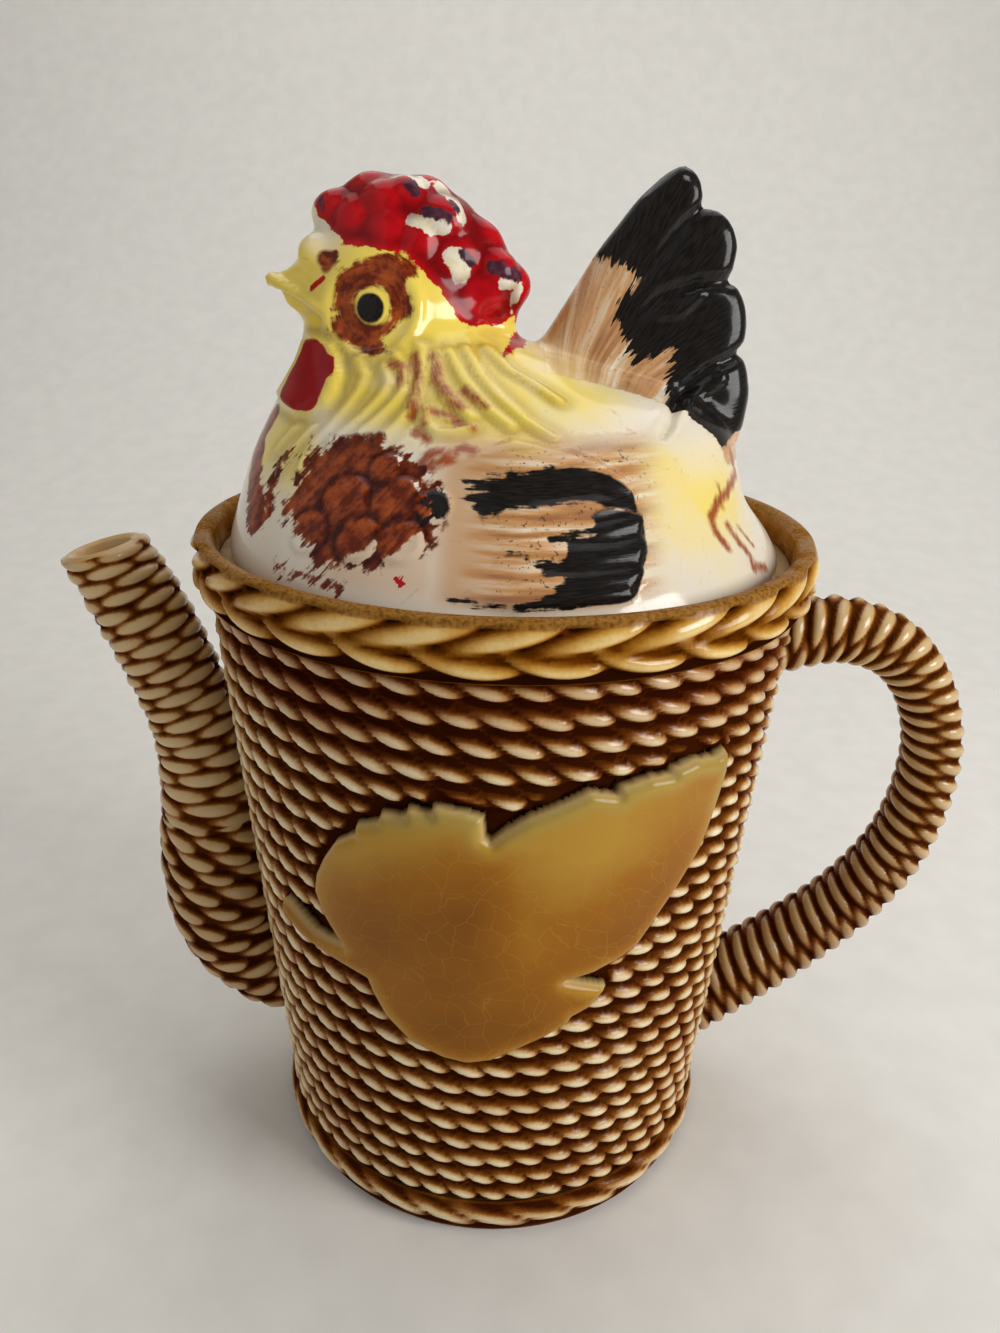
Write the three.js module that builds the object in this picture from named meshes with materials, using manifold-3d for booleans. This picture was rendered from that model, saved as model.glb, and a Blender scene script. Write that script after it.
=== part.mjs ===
// Hen coffee pot in glazed earthenware: a rope-basket pot with a luted spout, handle and leaf,
// and a hollow sitting hen that lifts off as its lid.
// Millimetres, +Z up, origin at the centre of the foot. The handle is on +X, the spout on -X
// and the leaf on -Y.

import * as THREE from "three";
import { mergeVertices } from "three/addons/utils/BufferGeometryUtils.js";
import Module from "manifold-3d";

const wasm = await Module();
wasm.setup();

// Pot wall
const rimHeight = 150; // top of the mouth rope
const shoulderRadius = 62.3; // rope crests just under the mouth rope
const footRadius = 51.4; // rope crests at the table
const wallThickness = 5.2;
const floorThickness = 6;
const floorFillet = 7;
const courseCount = 24; // rope courses between the foot rope and the mouth rope
const grooveDepth = 1.9; // valley between two courses
const wallStrands = 50; // strands in one course
const strandDepth = 1.4; // valley between two strands of a course
const strandLay = 1.41; // strands that the lay moves round from one course to the next
const pourHoleRadius = 6.5; // opening from the pot into the spout

// Heavier ropes round the mouth and the foot
const rimRopeHeight = 11;
const rimRopeBulge = 2.6;
const rimInset = 2.4; // inner face of the mouth rope, in from the shoulder's crests
const rimEdgeRadius = 2.2; // rounding of the rim's inner edge
const rimStrands = 27; // strands in each row of the plait
const rimRelief = 0.6; // half the depth of the plait
const footRopeHeight = 8;
const footRopeBulge = 0.7;
const ropeSeatDepth = 2.4; // how far the wall steps in behind the foot rope

// Lid seat
const galleryDepth = 5.7; // rim top down to the ledge
const ledgeThickness = 5;
const lidClearance = 2.1; // lid skirt to the mouth rope
const flangeDepth = 10;
const flangeThickness = 4;
const flangeInset = 6.8; // lid skirt to the flange
const flangeClearance = 1;

// Spout
const spoutTipReach = 87.3;
const spoutTipHeight = 141;
const spoutBendHeight = 113;
const spoutBellyHeight = 53;
const spoutRootHeight = 29; // spout axis where it leaves the pot
const spoutNeckRadius = 10.4;
const spoutBellyRadius = 14.2;
const spoutStandOff = 10.6; // spout axis to the wall, along the waist
const spoutWall = 3.2;
const spoutCourses = 26;
const spoutGroove = 1.1;
const lipTilt = 14; // degrees

// Handle
const handleReach = 101;
const handleReachHeight = 95;
const handlePeakHeight = 126.5;
const handleTopHeight = 123;
const handleRootHeight = 26;
const handleRadius = 7.2;
const handleRootRadius = 10.2;
const handleStrands = 3;
const handleRidges = 30;
const handleRelief = 0.9;

// Leaf
const leafThickness = 2.4;
const leafSpan = 83; // stalk's end to the leaf's tip
const leafHeight = 86; // height of the leaf's middle above the table

// Hen
const henWall = 4.6;
const henHeight = 67.5; // lid seat to the crown of the head
const beakLength = 12.5;
const beakWidth = 15.2;
const beakDepth = 16.4;
const hackleRadius = 2; // thickest part of a feather ridge on the neck
const hackleProud = 1.3; // how far it stands out of the skin
const wingThickness = 2.2;
const wattleThickness = 2.4;
const wattleWidth = 10;
const wattleHeight = 17;
const eyeRadius = 3.2;
const eyeProud = 2;
const tailThickness = 9.5;
const tailInset = 4; // how far the flat of the tail stands in from its edge
const combRadius = 9.4; // thickest part of the comb
const combBeadRadius = 3.4;

// Clay seam between two luted pieces
const seamGap = 0.3;

// Facets
const turnSegments = 28;
const spoutSides = 12;
const handleSides = 9;
const stepsPerRidge = 3;
const henSides = 28;
const henRingStep = 4; // height of one ring of the hen
const hackleSides = 4;
const cutReach = 200; // longer than any piece that a cutting body passes through

// Values that follow from the sizes above
const shoulderHeight = rimHeight - rimRopeHeight;
const ledgeHeight = rimHeight - galleryDepth;
const lidSeat = ledgeHeight + seamGap;
const mouthRadius = shoulderRadius - rimInset;
const lidRadius = mouthRadius - lidClearance;
const flangeRadius = lidRadius - flangeInset;
const hollowRadius = flangeRadius - flangeThickness;
const ledgeRadius = flangeRadius + flangeClearance;
const coursePitch = (shoulderHeight - footRopeHeight) / courseCount;
const wallFacets = 2 * wallStrands; // a crest and a valley for every strand

// Radius of the rope crests at a height
function wallRadius(z) {
  return footRadius + ((shoulderRadius - footRadius) * z) / shoulderHeight;
}

// Finishes
function glaze(colour, roughness = 0.18) {
  return new THREE.MeshStandardMaterial({ color: colour, roughness, metalness: 0 });
}

const ropeGlaze = glaze("#b08a58");
const rimGlaze = glaze("#b9792f");
const leafGlaze = glaze("#b98a3c");
const henGlaze = glaze("#f0e3b4");
const combPaint = glaze("#a31219", 0.3);
const tailPaint = glaze("#16130f", 0.22);
const wingPaint = glaze("#6b4326", 0.3);
const flangeGlaze = glaze("#efe9dc");

// Solids

// A closed three.js geometry as a solid
function solidOf(geometry) {
  const bare = geometry.clone();
  bare.deleteAttribute("normal");
  bare.deleteAttribute("uv");
  const merged = mergeVertices(bare, 1e-4);
  const index = merged.index.array;
  const kept = [];
  for (let i = 0; i < index.length; i += 3) {
    const [a, b, c] = [index[i], index[i + 1], index[i + 2]];
    if (a !== b && b !== c && c !== a) kept.push(a, b, c);
  }
  const made = new wasm.Mesh({
    numProp: 3,
    vertProperties: merged.attributes.position.array,
    triVerts: new Uint32Array(kept),
  });
  return new wasm.Manifold(made);
}

// A solid as a named mesh
function piece(name, solid, material) {
  const { vertProperties, triVerts } = solid.getMesh();
  const geometry = new THREE.BufferGeometry();
  geometry.setAttribute("position", new THREE.BufferAttribute(vertProperties, 3));
  geometry.setIndex(new THREE.BufferAttribute(triVerts, 1));
  geometry.computeVertexNormals();
  const mesh = new THREE.Mesh(geometry, material);
  mesh.name = name;
  return mesh;
}

// A profile of [radius, height] pairs turned about the pot's axis
function turned(profile, segments = turnSegments) {
  const points = profile.map(([r, z]) => new THREE.Vector2(r, z));
  if (THREE.ShapeUtils.area(points) < 0) points.reverse();
  return solidOf(new THREE.LatheGeometry(points, segments).rotateX(Math.PI / 2));
}

// A ring of the same turned form, whose profile closes on itself
function turnedRing(profile) {
  const points = profile.map(([r, z]) => new THREE.Vector2(r, z));
  if (THREE.ShapeUtils.area(points) < 0) points.reverse();
  points.push(points[0].clone());
  return solidOf(new THREE.LatheGeometry(points, turnSegments).rotateX(Math.PI / 2));
}

// Rings of equal count joined into one skin, with a fan over each end
function loft(rings) {
  const sides = rings[0].length;
  const points = rings.flat();
  const centreOf = (ring) =>
    ring.reduce((sum, p) => sum.add(p), new THREE.Vector3()).divideScalar(sides);
  const first = points.push(centreOf(rings[0])) - 1;
  const last = points.push(centreOf(rings.at(-1))) - 1;
  const faces = [];
  const tail = (rings.length - 1) * sides;
  for (let j = 0; j < sides; j++) {
    const next = (j + 1) % sides;
    faces.push(first, next, j, last, tail + j, tail + next);
    for (let i = 0; i + 1 < rings.length; i++) {
      const low = i * sides;
      const high = low + sides;
      faces.push(low + j, low + next, high + j, low + next, high + next, high + j);
    }
  }
  const geometry = new THREE.BufferGeometry().setFromPoints(points);
  geometry.setIndex(faces);
  return solidOf(geometry);
}

// A round section swept along a path in the XZ plane; radiusAt takes the share of the path and the angle
function swept(path, steps, sides, radiusAt) {
  const across = new THREE.Vector3(0, 1, 0);
  const rings = [];
  for (let i = 0; i <= steps; i++) {
    const share = i / steps;
    const centre = path.getPointAt(share);
    const side = new THREE.Vector3().crossVectors(across, path.getTangentAt(share)).normalize();
    const ring = [];
    for (let j = 0; j < sides; j++) {
      const angle = (2 * Math.PI * j) / sides;
      const r = radiusAt(share, angle);
      const out = side.clone().multiplyScalar(r * Math.cos(angle));
      ring.push(out.addScaledVector(across, r * Math.sin(angle)).add(centre));
    }
    rings.push(ring);
  }
  return loft(rings);
}

// An outline in the XZ plane made solid between two values of Y
function plate(shape, fromY, toY, curveSegments = 5) {
  const geometry = new THREE.ExtrudeGeometry(shape, {
    depth: toY - fromY,
    bevelEnabled: false,
    curveSegments,
  });
  return solidOf(geometry.rotateX(Math.PI / 2).translate(0, toY, 0));
}

// The cone that the rope crests touch, a little proud, for cutting what is luted to it
function wallCone(proud) {
  const profile = [
    [0, -cutReach],
    [wallRadius(0) + proud, -cutReach],
    [wallRadius(0) + proud, 0],
    [wallRadius(shoulderHeight) + proud, shoulderHeight],
    [wallRadius(shoulderHeight) + proud, shoulderHeight + cutReach],
    [0, shoulderHeight + cutReach],
  ];
  return turned(profile, wallFacets);
}

// A path through points given as [x, z]
function pathThrough(points) {
  return new THREE.CatmullRomCurve3(points.map(([x, z]) => new THREE.Vector3(x, 0, z)));
}

// A smooth reading between keyed rows of numbers
function keyed(rows) {
  const keys = rows.map((row) => row[0]);
  const values = rows.flatMap((row) => row.slice(1));
  const reader = new THREE.CubicInterpolant(keys, values, rows[0].length - 1);
  return (at) => [...reader.evaluate(THREE.MathUtils.clamp(at, keys[0], keys.at(-1)))];
}

// Rope wall: courses of slanting strands, each a lens that rises out of the grooves to its crest
function ropeWall() {
  const points = [];
  const faces = [];
  // A ring of one point per strand, turned back by so many strands
  const ring = (z, depth, back) =>
    Array.from({ length: wallStrands }, (_, n) => {
      const angle = (2 * Math.PI * (n - back)) / wallStrands;
      const r = wallRadius(z) - depth;
      return points.push(new THREE.Vector3(r * Math.sin(angle), -r * Math.cos(angle), z)) - 1;
    });
  const groove = (k) => ring(footRopeHeight + k * coursePitch, grooveDepth, strandLay * (k - 0.5));
  const first = groove(0);
  let under = first;
  for (let k = 0; k < courseCount; k++) {
    const z = footRopeHeight + (k + 0.5) * coursePitch;
    const crest = ring(z, 0, strandLay * k);
    const valley = ring(z, strandDepth, strandLay * k - 0.5);
    const over = groove(k + 1);
    for (let n = 0; n < wallStrands; n++) {
      const last = (n + wallStrands - 1) % wallStrands;
      const next = (n + 1) % wallStrands;
      faces.push(under[n], valley[n], crest[n], under[n], crest[n], valley[last]);
      faces.push(under[n], under[next], valley[n], valley[n], over[next], over[n]);
      faces.push(valley[last], crest[n], over[n], crest[n], valley[n], over[n]);
    }
    under = over;
  }
  const bottom = points.push(new THREE.Vector3(0, 0, footRopeHeight)) - 1;
  const top = points.push(new THREE.Vector3(0, 0, shoulderHeight)) - 1;
  for (let n = 0; n < wallStrands; n++) {
    const next = (n + 1) % wallStrands;
    faces.push(bottom, first[next], first[n], top, under[n], under[next]);
  }
  const geometry = new THREE.BufferGeometry().setFromPoints(points);
  geometry.setIndex(faces);
  return solidOf(geometry);
}

// Pot body: rope courses outside, a smooth wall, floor and lid ledge inside
function potBody() {
  const core = turned([
    [0, 0],
    [wallRadius(0) - ropeSeatDepth, 0],
    [wallRadius(footRopeHeight) - ropeSeatDepth, footRopeHeight],
    [mouthRadius - seamGap, shoulderHeight],
    [mouthRadius - seamGap, ledgeHeight],
    [0, ledgeHeight],
  ]);
  const innerRadius = (z) => wallRadius(z) - wallThickness;
  const underLedge = ledgeHeight - ledgeThickness;
  const ledgeSlope = innerRadius(underLedge) - ledgeRadius;
  const chamber = turned([
    [0, cutReach],
    [ledgeRadius, cutReach],
    [ledgeRadius, underLedge],
    [innerRadius(underLedge - ledgeSlope), underLedge - ledgeSlope],
    [innerRadius(floorThickness + floorFillet), floorThickness + floorFillet],
    [innerRadius(floorThickness) - 0.3 * floorFillet, floorThickness + 0.3 * floorFillet],
    [innerRadius(floorThickness) - floorFillet, floorThickness],
    [0, floorThickness],
  ]);
  const drill = new THREE.CylinderGeometry(pourHoleRadius, pourHoleRadius, cutReach, 16);
  drill.rotateZ(Math.PI / 2).translate(-cutReach / 2, 0, spoutRootHeight + pourHoleRadius);
  return core.add(ropeWall()).subtract(chamber).subtract(solidOf(drill));
}

// Mouth rope: a plait of two rows of strands that lean opposite ways, with a smooth lip over it
function rimRope() {
  const bottom = shoulderHeight + seamGap;
  const outer = shoulderRadius + rimRopeBulge;
  const share = (part) => bottom + part * (rimHeight - bottom);
  const rows = [
    { r: mouthRadius, z: bottom, lean: 0 },
    { r: outer - rimRopeBulge, z: bottom, lean: 0 },
    { r: outer - 0.6, z: share(0.2), lean: -0.7 },
    { r: outer, z: share(0.45), lean: 0.4 },
    { r: outer - 0.3, z: share(0.72), lean: 1.6 },
    { r: outer - 0.7 * rimRopeBulge, z: rimHeight, lean: 0 },
    { r: mouthRadius + rimEdgeRadius, z: rimHeight, lean: 0 },
    { r: mouthRadius, z: rimHeight - rimEdgeRadius, lean: 0 },
  ];
  const columns = 3 * rimStrands;
  const points = [];
  const faces = [];
  for (let i = 0; i < columns; i++) {
    const angle = (2 * Math.PI * i) / columns;
    for (const { r, z, lean } of rows) {
      const swell = lean ? rimRelief * Math.cos(rimStrands * angle - lean * Math.PI) : 0;
      const reach = r + swell - (lean ? rimRelief : 0);
      points.push(new THREE.Vector3(reach * Math.cos(angle), reach * Math.sin(angle), z));
    }
  }
  for (let i = 0; i < columns; i++) {
    for (let j = 0; j < rows.length; j++) {
      const [here, over] = [i * rows.length, ((i + 1) % columns) * rows.length];
      const next = (j + 1) % rows.length;
      faces.push(here + j, over + j, over + next, here + j, over + next, here + next);
    }
  }
  const geometry = new THREE.BufferGeometry().setFromPoints(points);
  geometry.setIndex(faces);
  return solidOf(geometry);
}

// Foot rope: the border cord that the pot stands on
function footRope() {
  const seat = (z) => wallRadius(z) - ropeSeatDepth + seamGap;
  const outer = (z) => wallRadius(z) + footRopeBulge;
  const top = footRopeHeight - seamGap;
  return turnedRing([
    [seat(0), 0],
    [outer(0) - 1.4, 0],
    [outer(0.25 * top), 0.25 * top],
    [outer(0.65 * top), 0.65 * top],
    [outer(top) - 1.5, top],
    [seat(top), top],
  ]);
}

// Spout: a roped tube with a belly, open to the wall along its seam
function spout() {
  const path = pathThrough([
    [-(wallRadius(spoutRootHeight) - 0.5 * spoutNeckRadius), spoutRootHeight],
    [-(wallRadius(spoutBellyHeight) + spoutStandOff + 1), spoutBellyHeight],
    [-(wallRadius(spoutBendHeight) + spoutStandOff - 2), (spoutBellyHeight + spoutBendHeight) / 2],
    [-(wallRadius(spoutBendHeight) + spoutStandOff + 3.6), spoutBendHeight],
    [-(spoutTipReach + 2.5), spoutTipHeight + 5.5],
  ]);
  const girth = keyed([
    [0, 0.8 * spoutBellyRadius],
    [0.12, 0.97 * spoutBellyRadius],
    [0.24, spoutBellyRadius],
    [0.42, (spoutBellyRadius + spoutNeckRadius) / 2],
    [0.58, spoutNeckRadius],
    [1, spoutNeckRadius],
  ]);
  const ribbed = (share) => {
    const wave = 0.5 - 0.5 * Math.cos(2 * Math.PI * spoutCourses * share);
    return girth(share)[0] - spoutGroove * (1 - wave);
  };
  const bore = (share) => girth(share)[0] - spoutGroove - spoutWall + 0.4;
  const lipCut = new THREE.BoxGeometry(cutReach, cutReach, cutReach);
  lipCut.translate(0, 0, cutReach / 2);
  lipCut.rotateY(THREE.MathUtils.degToRad(-lipTilt));
  lipCut.translate(-spoutTipReach, 0, spoutTipHeight);
  return swept(path, 2 * spoutCourses, spoutSides, ribbed)
    .subtract(swept(path, spoutCourses / 2, spoutSides, bore))
    .subtract(solidOf(lipCut))
    .subtract(wallCone(seamGap));
}

// Handle: an ear of twisted rope, thicker where its foot meets the wall
function handle() {
  const rise = handlePeakHeight - handleReachHeight;
  const drop = handleReachHeight - handleRootHeight;
  const top = wallRadius(handleTopHeight);
  const foot = wallRadius(handleRootHeight);
  const path = pathThrough([
    [top - handleRadius, handleTopHeight - 1],
    [top + 0.4 * (handleReach - top), handlePeakHeight],
    [top + 0.81 * (handleReach - top), handleReachHeight + 0.68 * rise],
    [handleReach, handleReachHeight],
    [foot + 0.88 * (handleReach - foot), handleRootHeight + 0.6 * drop],
    [foot + 0.54 * (handleReach - foot), handleRootHeight + 0.31 * drop],
    [foot - 0.6 * handleRootRadius, handleRootHeight],
  ]);
  const girth = keyed([
    [0, 1.15 * handleRadius],
    [0.12, 1.04 * handleRadius],
    [0.3, 0.96 * handleRadius],
    [0.55, 1.1 * handleRadius],
    [0.8, 1.22 * handleRadius],
    [1, handleRootRadius],
  ]);
  const twisted = (share, angle) => {
    const turn = handleStrands * angle + 2 * Math.PI * handleRidges * share;
    return girth(share)[0] + handleRelief * (Math.cos(turn) - 0.4);
  };
  return swept(path, handleRidges * stepsPerRidge, handleSides, twisted).subtract(
    wallCone(seamGap),
  );
}

// Leaf: a lobed plaque on the front of the wall, with its stalk towards the spout
function leaf() {
  const at = (x, z) => new THREE.Vector2(x * leafSpan, z * leafSpan);
  const outline = new THREE.Shape();
  outline.moveTo(...at(0.5, 0.398));
  outline.splineThru([at(0.458, 0.157), at(0.373, 0), at(0.289, -0.096)]);
  outline.lineTo(...at(0.169, -0.127));
  outline.lineTo(...at(0.253, -0.175));
  outline.splineThru([
    at(0.176, -0.271),
    at(0.06, -0.337),
    at(-0.06, -0.386),
    at(-0.193, -0.349),
    at(-0.259, -0.277),
    at(-0.284, -0.199),
  ]);
  outline.lineTo(...at(-0.44, -0.198));
  outline.quadraticCurveTo(...at(-0.506, -0.181), ...at(-0.494, -0.142));
  outline.lineTo(...at(-0.367, -0.135));
  outline.splineThru([
    at(-0.417, 0.024),
    at(-0.38, 0.151),
    at(-0.265, 0.283),
    at(-0.139, 0.331),
    at(-0.031, 0.319),
  ]);
  outline.lineTo(...at(-0.012, 0.259));
  outline.splineThru([at(0.063, 0.319), at(0.188, 0.376), at(0.343, 0.393), at(0.5, 0.398)]);
  const cutter = plate(outline, -cutReach, 0, 3).translate(0, 0, leafHeight);
  const skin = wallCone(seamGap + leafThickness).subtract(wallCone(seamGap));
  return skin.intersect(cutter);
}

// Hen sections: share of the hen's height, then breast, back and half width as shares of the lid's radius
const henRows = [
  [0, -1, 1, 1],
  [0.074, -0.983, 0.952, 0.96],
  [0.178, -0.945, 0.856, 0.865],
  [0.296, -0.896, 0.813, 0.744],
  [0.415, -0.827, 0.761, 0.606],
  [0.504, -0.77, 0.588, 0.476],
  [0.578, -0.73, 0.242, 0.355],
  [0.637, -0.709, -0.017, 0.291],
  [0.726, -0.702, -0.087, 0.256],
  [0.815, -0.692, -0.121, 0.218],
  [0.904, -0.649, -0.182, 0.159],
  [0.963, -0.58, -0.26, 0.1],
  [1, -0.467, -0.363, 0.035],
];
const readHen = keyed(henRows);

// Breast, back and half width at a share of the hen's height, in millimetres
function henSection(share) {
  return readHen(share).map((value) => value * lidRadius);
}

// A point in the hen's side view, from shares of the lid's radius and of the hen's height
function henPoint(x, height) {
  return new THREE.Vector2(x * lidRadius, height * henHeight);
}

// The hen's body, neck and head as stacked ovals, drawn out or in all round by grow
function henForm(grow, sides, ringStep) {
  const rings = [];
  const count = Math.round(henHeight / ringStep);
  for (let i = 0; i <= count; i++) {
    const height = (henHeight * i) / count;
    const [breast, back, half] = henSection(i / count);
    const middle = (breast + back) / 2;
    const long = Math.max((back - breast) / 2 + grow, 0.5);
    const wide = Math.max(half + grow, 0.5);
    const ring = [];
    for (let j = 0; j < sides; j++) {
      const angle = (2 * Math.PI * j) / sides;
      const [x, y] = [middle + long * Math.cos(angle), wide * Math.sin(angle)];
      ring.push(new THREE.Vector3(x, y, lidSeat + height + (i > 0 ? grow : 0)));
    }
    rings.push(ring);
  }
  return loft(rings);
}

// Where the hen's flank stands at a point of its side view
function flankAt(point) {
  const [breast, back, half] = henSection(point.y / henHeight);
  const along = (point.x - (breast + back) / 2) / ((back - breast) / 2);
  return half * Math.sqrt(Math.max(0, 1 - along * along));
}

// The way the flank faces at a point of its side view, on the +Y side
function flankFacing(point) {
  const step = new THREE.Vector2(0.5, 0);
  const rise = new THREE.Vector2(0, 0.5);
  const slope = (by) => flankAt(point.clone().add(by)) - flankAt(point.clone().sub(by));
  return new THREE.Vector3(-slope(step), 1, -slope(rise)).normalize();
}

// One hackle: a feather ridge on the +Y flank between two points of the side view
function hackle(from, to) {
  const girths = [0.45, 1, 0.95, 0.45];
  const spine = girths.map((girth, i) => {
    const at = from.clone().lerp(to, i / (girths.length - 1));
    const facing = flankFacing(at);
    const centre = new THREE.Vector3(at.x, flankAt(at), lidSeat + at.y);
    centre.addScaledVector(facing, hackleProud - hackleRadius);
    return { centre, facing, r: girth * hackleRadius };
  });
  const along = spine.at(-1).centre.clone().sub(spine[0].centre);
  const rings = spine.map(({ centre, facing, r }) => {
    const across = new THREE.Vector3().crossVectors(facing, along).normalize();
    return Array.from({ length: hackleSides }, (_, j) => {
      const angle = (2 * Math.PI * (j + 0.25 * hackleSides)) / hackleSides;
      const point = centre.clone().addScaledVector(across, r * Math.cos(angle));
      return point.addScaledVector(facing, r * Math.sin(angle));
    });
  });
  return loft(rings);
}

// Hackles: the ridges that fan down from the neck to the breast and the back, on both sides
function hackles() {
  const fan = [
    hackle(henPoint(-0.481, 0.572), henPoint(-0.606, 0.376)),
    hackle(henPoint(-0.393, 0.563), henPoint(-0.545, 0.385)),
    hackle(henPoint(-0.356, 0.584), henPoint(-0.478, 0.397)),
    hackle(henPoint(-0.284, 0.616), henPoint(-0.396, 0.4)),
    hackle(henPoint(-0.235, 0.601), henPoint(-0.114, 0.462)),
    hackle(henPoint(-0.194, 0.607), henPoint(0.007, 0.444)),
    hackle(henPoint(-0.142, 0.613), henPoint(0.135, 0.421)),
    hackle(henPoint(-0.076, 0.613), henPoint(0.156, 0.498)),
  ];
  const oneSide = fan.reduce((made, ridge) => made.add(ridge));
  return oneSide.add(oneSide.mirror([0, 1, 0]));
}

// Hen body: hollow casting with breast, neck, head and beak
function henBody() {
  const root = henPoint(-0.606, 0.776);
  const ring = (reach, rise, girth) =>
    Array.from({ length: 12 }, (_, j) => {
      const angle = (2 * Math.PI * j) / 12;
      const y = 0.5 * beakWidth * girth * Math.cos(angle);
      const z = 0.5 * beakDepth * girth * Math.sin(angle);
      return new THREE.Vector3(root.x - reach * beakLength, y, lidSeat + root.y + rise + z);
    });
  const beak = loft([ring(1, -0.4, 0.07), ring(0.8, 0, 0.35), ring(0.45, 0.3, 0.71), ring(0, 0, 1)]);
  const core = turned([
    [0, lidSeat - 1],
    [hollowRadius, lidSeat - 1],
    [hollowRadius, lidSeat + henHeight],
    [0, lidSeat + henHeight],
  ]);
  const hollow = henForm(-henWall, henSides / 2, 2 * henRingStep);
  const mouth = turned([
    [0, lidSeat - 1],
    [hollowRadius, lidSeat - 1],
    [hollowRadius, lidSeat + 1],
    [0, lidSeat + 1],
  ]);
  const neckStop = turned([
    [0, lidSeat - 2],
    [cutReach, lidSeat - 2],
    [cutReach, lidSeat + 0.72 * henHeight],
    [0, lidSeat + 0.72 * henHeight],
  ]);
  return henForm(0, henSides, henRingStep)
    .add(beak)
    .add(hackles())
    .subtract(hollow.intersect(core).intersect(neckStop))
    .subtract(mouth);
}

// Lid flange: the ring that drops inside the ledge and centres the lid
function lidFlange() {
  const top = lidSeat - seamGap;
  return turnedRing([
    [hollowRadius, top],
    [flangeRadius, top],
    [flangeRadius, top - flangeDepth + 1],
    [flangeRadius - 1, top - flangeDepth],
    [hollowRadius, top - flangeDepth],
  ]);
}

// A raised pad on the hen's flank: the body's skin inside an outline, on one side only
function flankPad(outline, thickness, side, fromY) {
  const skin = henForm(thickness + seamGap, henSides, henRingStep).subtract(
    henForm(seamGap, henSides, henRingStep),
  );
  const cutter =
    side < 0 ? plate(outline, -cutReach, -fromY) : plate(outline, fromY, cutReach);
  return skin.intersect(cutter.translate(0, 0, lidSeat));
}

// Wing: shoulder towards the breast, feather ends towards the tail
function wing(side) {
  const outline = new THREE.Shape();
  outline.moveTo(...henPoint(-0.666, 0.207));
  outline.splineThru([
    henPoint(-0.623, 0.311),
    henPoint(-0.484, 0.37),
    henPoint(-0.242, 0.356),
    henPoint(-0.017, 0.361),
    henPoint(0.173, 0.373),
    henPoint(0.346, 0.326),
    henPoint(0.401, 0.259),
  ]);
  outline.quadraticCurveTo(...henPoint(0.443, 0.215), ...henPoint(0.405, 0.178));
  outline.quadraticCurveTo(...henPoint(0.426, 0.126), ...henPoint(0.363, 0.089));
  outline.lineTo(...henPoint(0, 0.068));
  outline.lineTo(...henPoint(-0.294, 0.104));
  outline.quadraticCurveTo(...henPoint(-0.571, 0.119), ...henPoint(-0.666, 0.207));
  return flankPad(outline, wingThickness, side, 10);
}

// Wattle: a drop under the beak
function wattle(side) {
  const outline = new THREE.Shape();
  const middle = henPoint(-0.675, 0.541);
  outline.absellipse(
    middle.x, middle.y, wattleWidth / 2, wattleHeight / 2, 0, 2 * Math.PI, false, -0.3,
  );
  return flankPad(outline, wattleThickness, side, 2.5);
}

// Eye: a bead let into the side of the head
function eye(side) {
  const middle = henPoint(-0.455, 0.716);
  const y = side * (flankAt(middle) + eyeProud - eyeRadius);
  const bead = new THREE.SphereGeometry(eyeRadius, 12, 8);
  bead.translate(middle.x, y, lidSeat + middle.y);
  return solidOf(bead).subtract(henForm(seamGap, henSides, henRingStep));
}

// Tail: a fan of feathers, thick at its root and thin at its tips
function tailFan() {
  const outline = new THREE.Shape();
  outline.moveTo(...henPoint(0.035, 0.444));
  outline.lineTo(...henPoint(0.069, 0.57));
  outline.quadraticCurveTo(...henPoint(0.225, 0.815), ...henPoint(0.424, 1.022));
  outline.quadraticCurveTo(...henPoint(0.58, 1.156), ...henPoint(0.616, 1.044));
  outline.lineTo(...henPoint(0.626, 0.993));
  outline.quadraticCurveTo(...henPoint(0.822, 0.926), ...henPoint(0.727, 0.804));
  outline.quadraticCurveTo(...henPoint(0.882, 0.711), ...henPoint(0.792, 0.596));
  outline.quadraticCurveTo(...henPoint(0.9, 0.474), ...henPoint(0.806, 0.341));
  outline.lineTo(...henPoint(0.692, 0.237));
  const edge = outline.getPoints(5);
  const heart = henPoint(0.45, 0.533);
  const levels = [
    [-0.5, tailInset],
    [-0.3, tailInset / 4],
    [0, 0],
    [0.3, tailInset / 4],
    [0.5, tailInset],
  ];
  const rings = levels.map(([level, inset]) =>
    edge.map((point) => {
      const out = point.clone().sub(heart);
      const drawn = out.setLength(out.length() - inset).add(heart);
      const swell = THREE.MathUtils.mapLinear(point.y, 0.37 * henHeight, henHeight, 1.9, 0.85);
      return new THREE.Vector3(drawn.x, level * tailThickness * swell, lidSeat + drawn.y);
    }),
  );
  return loft(rings).subtract(henForm(seamGap, henSides, henRingStep));
}

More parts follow.
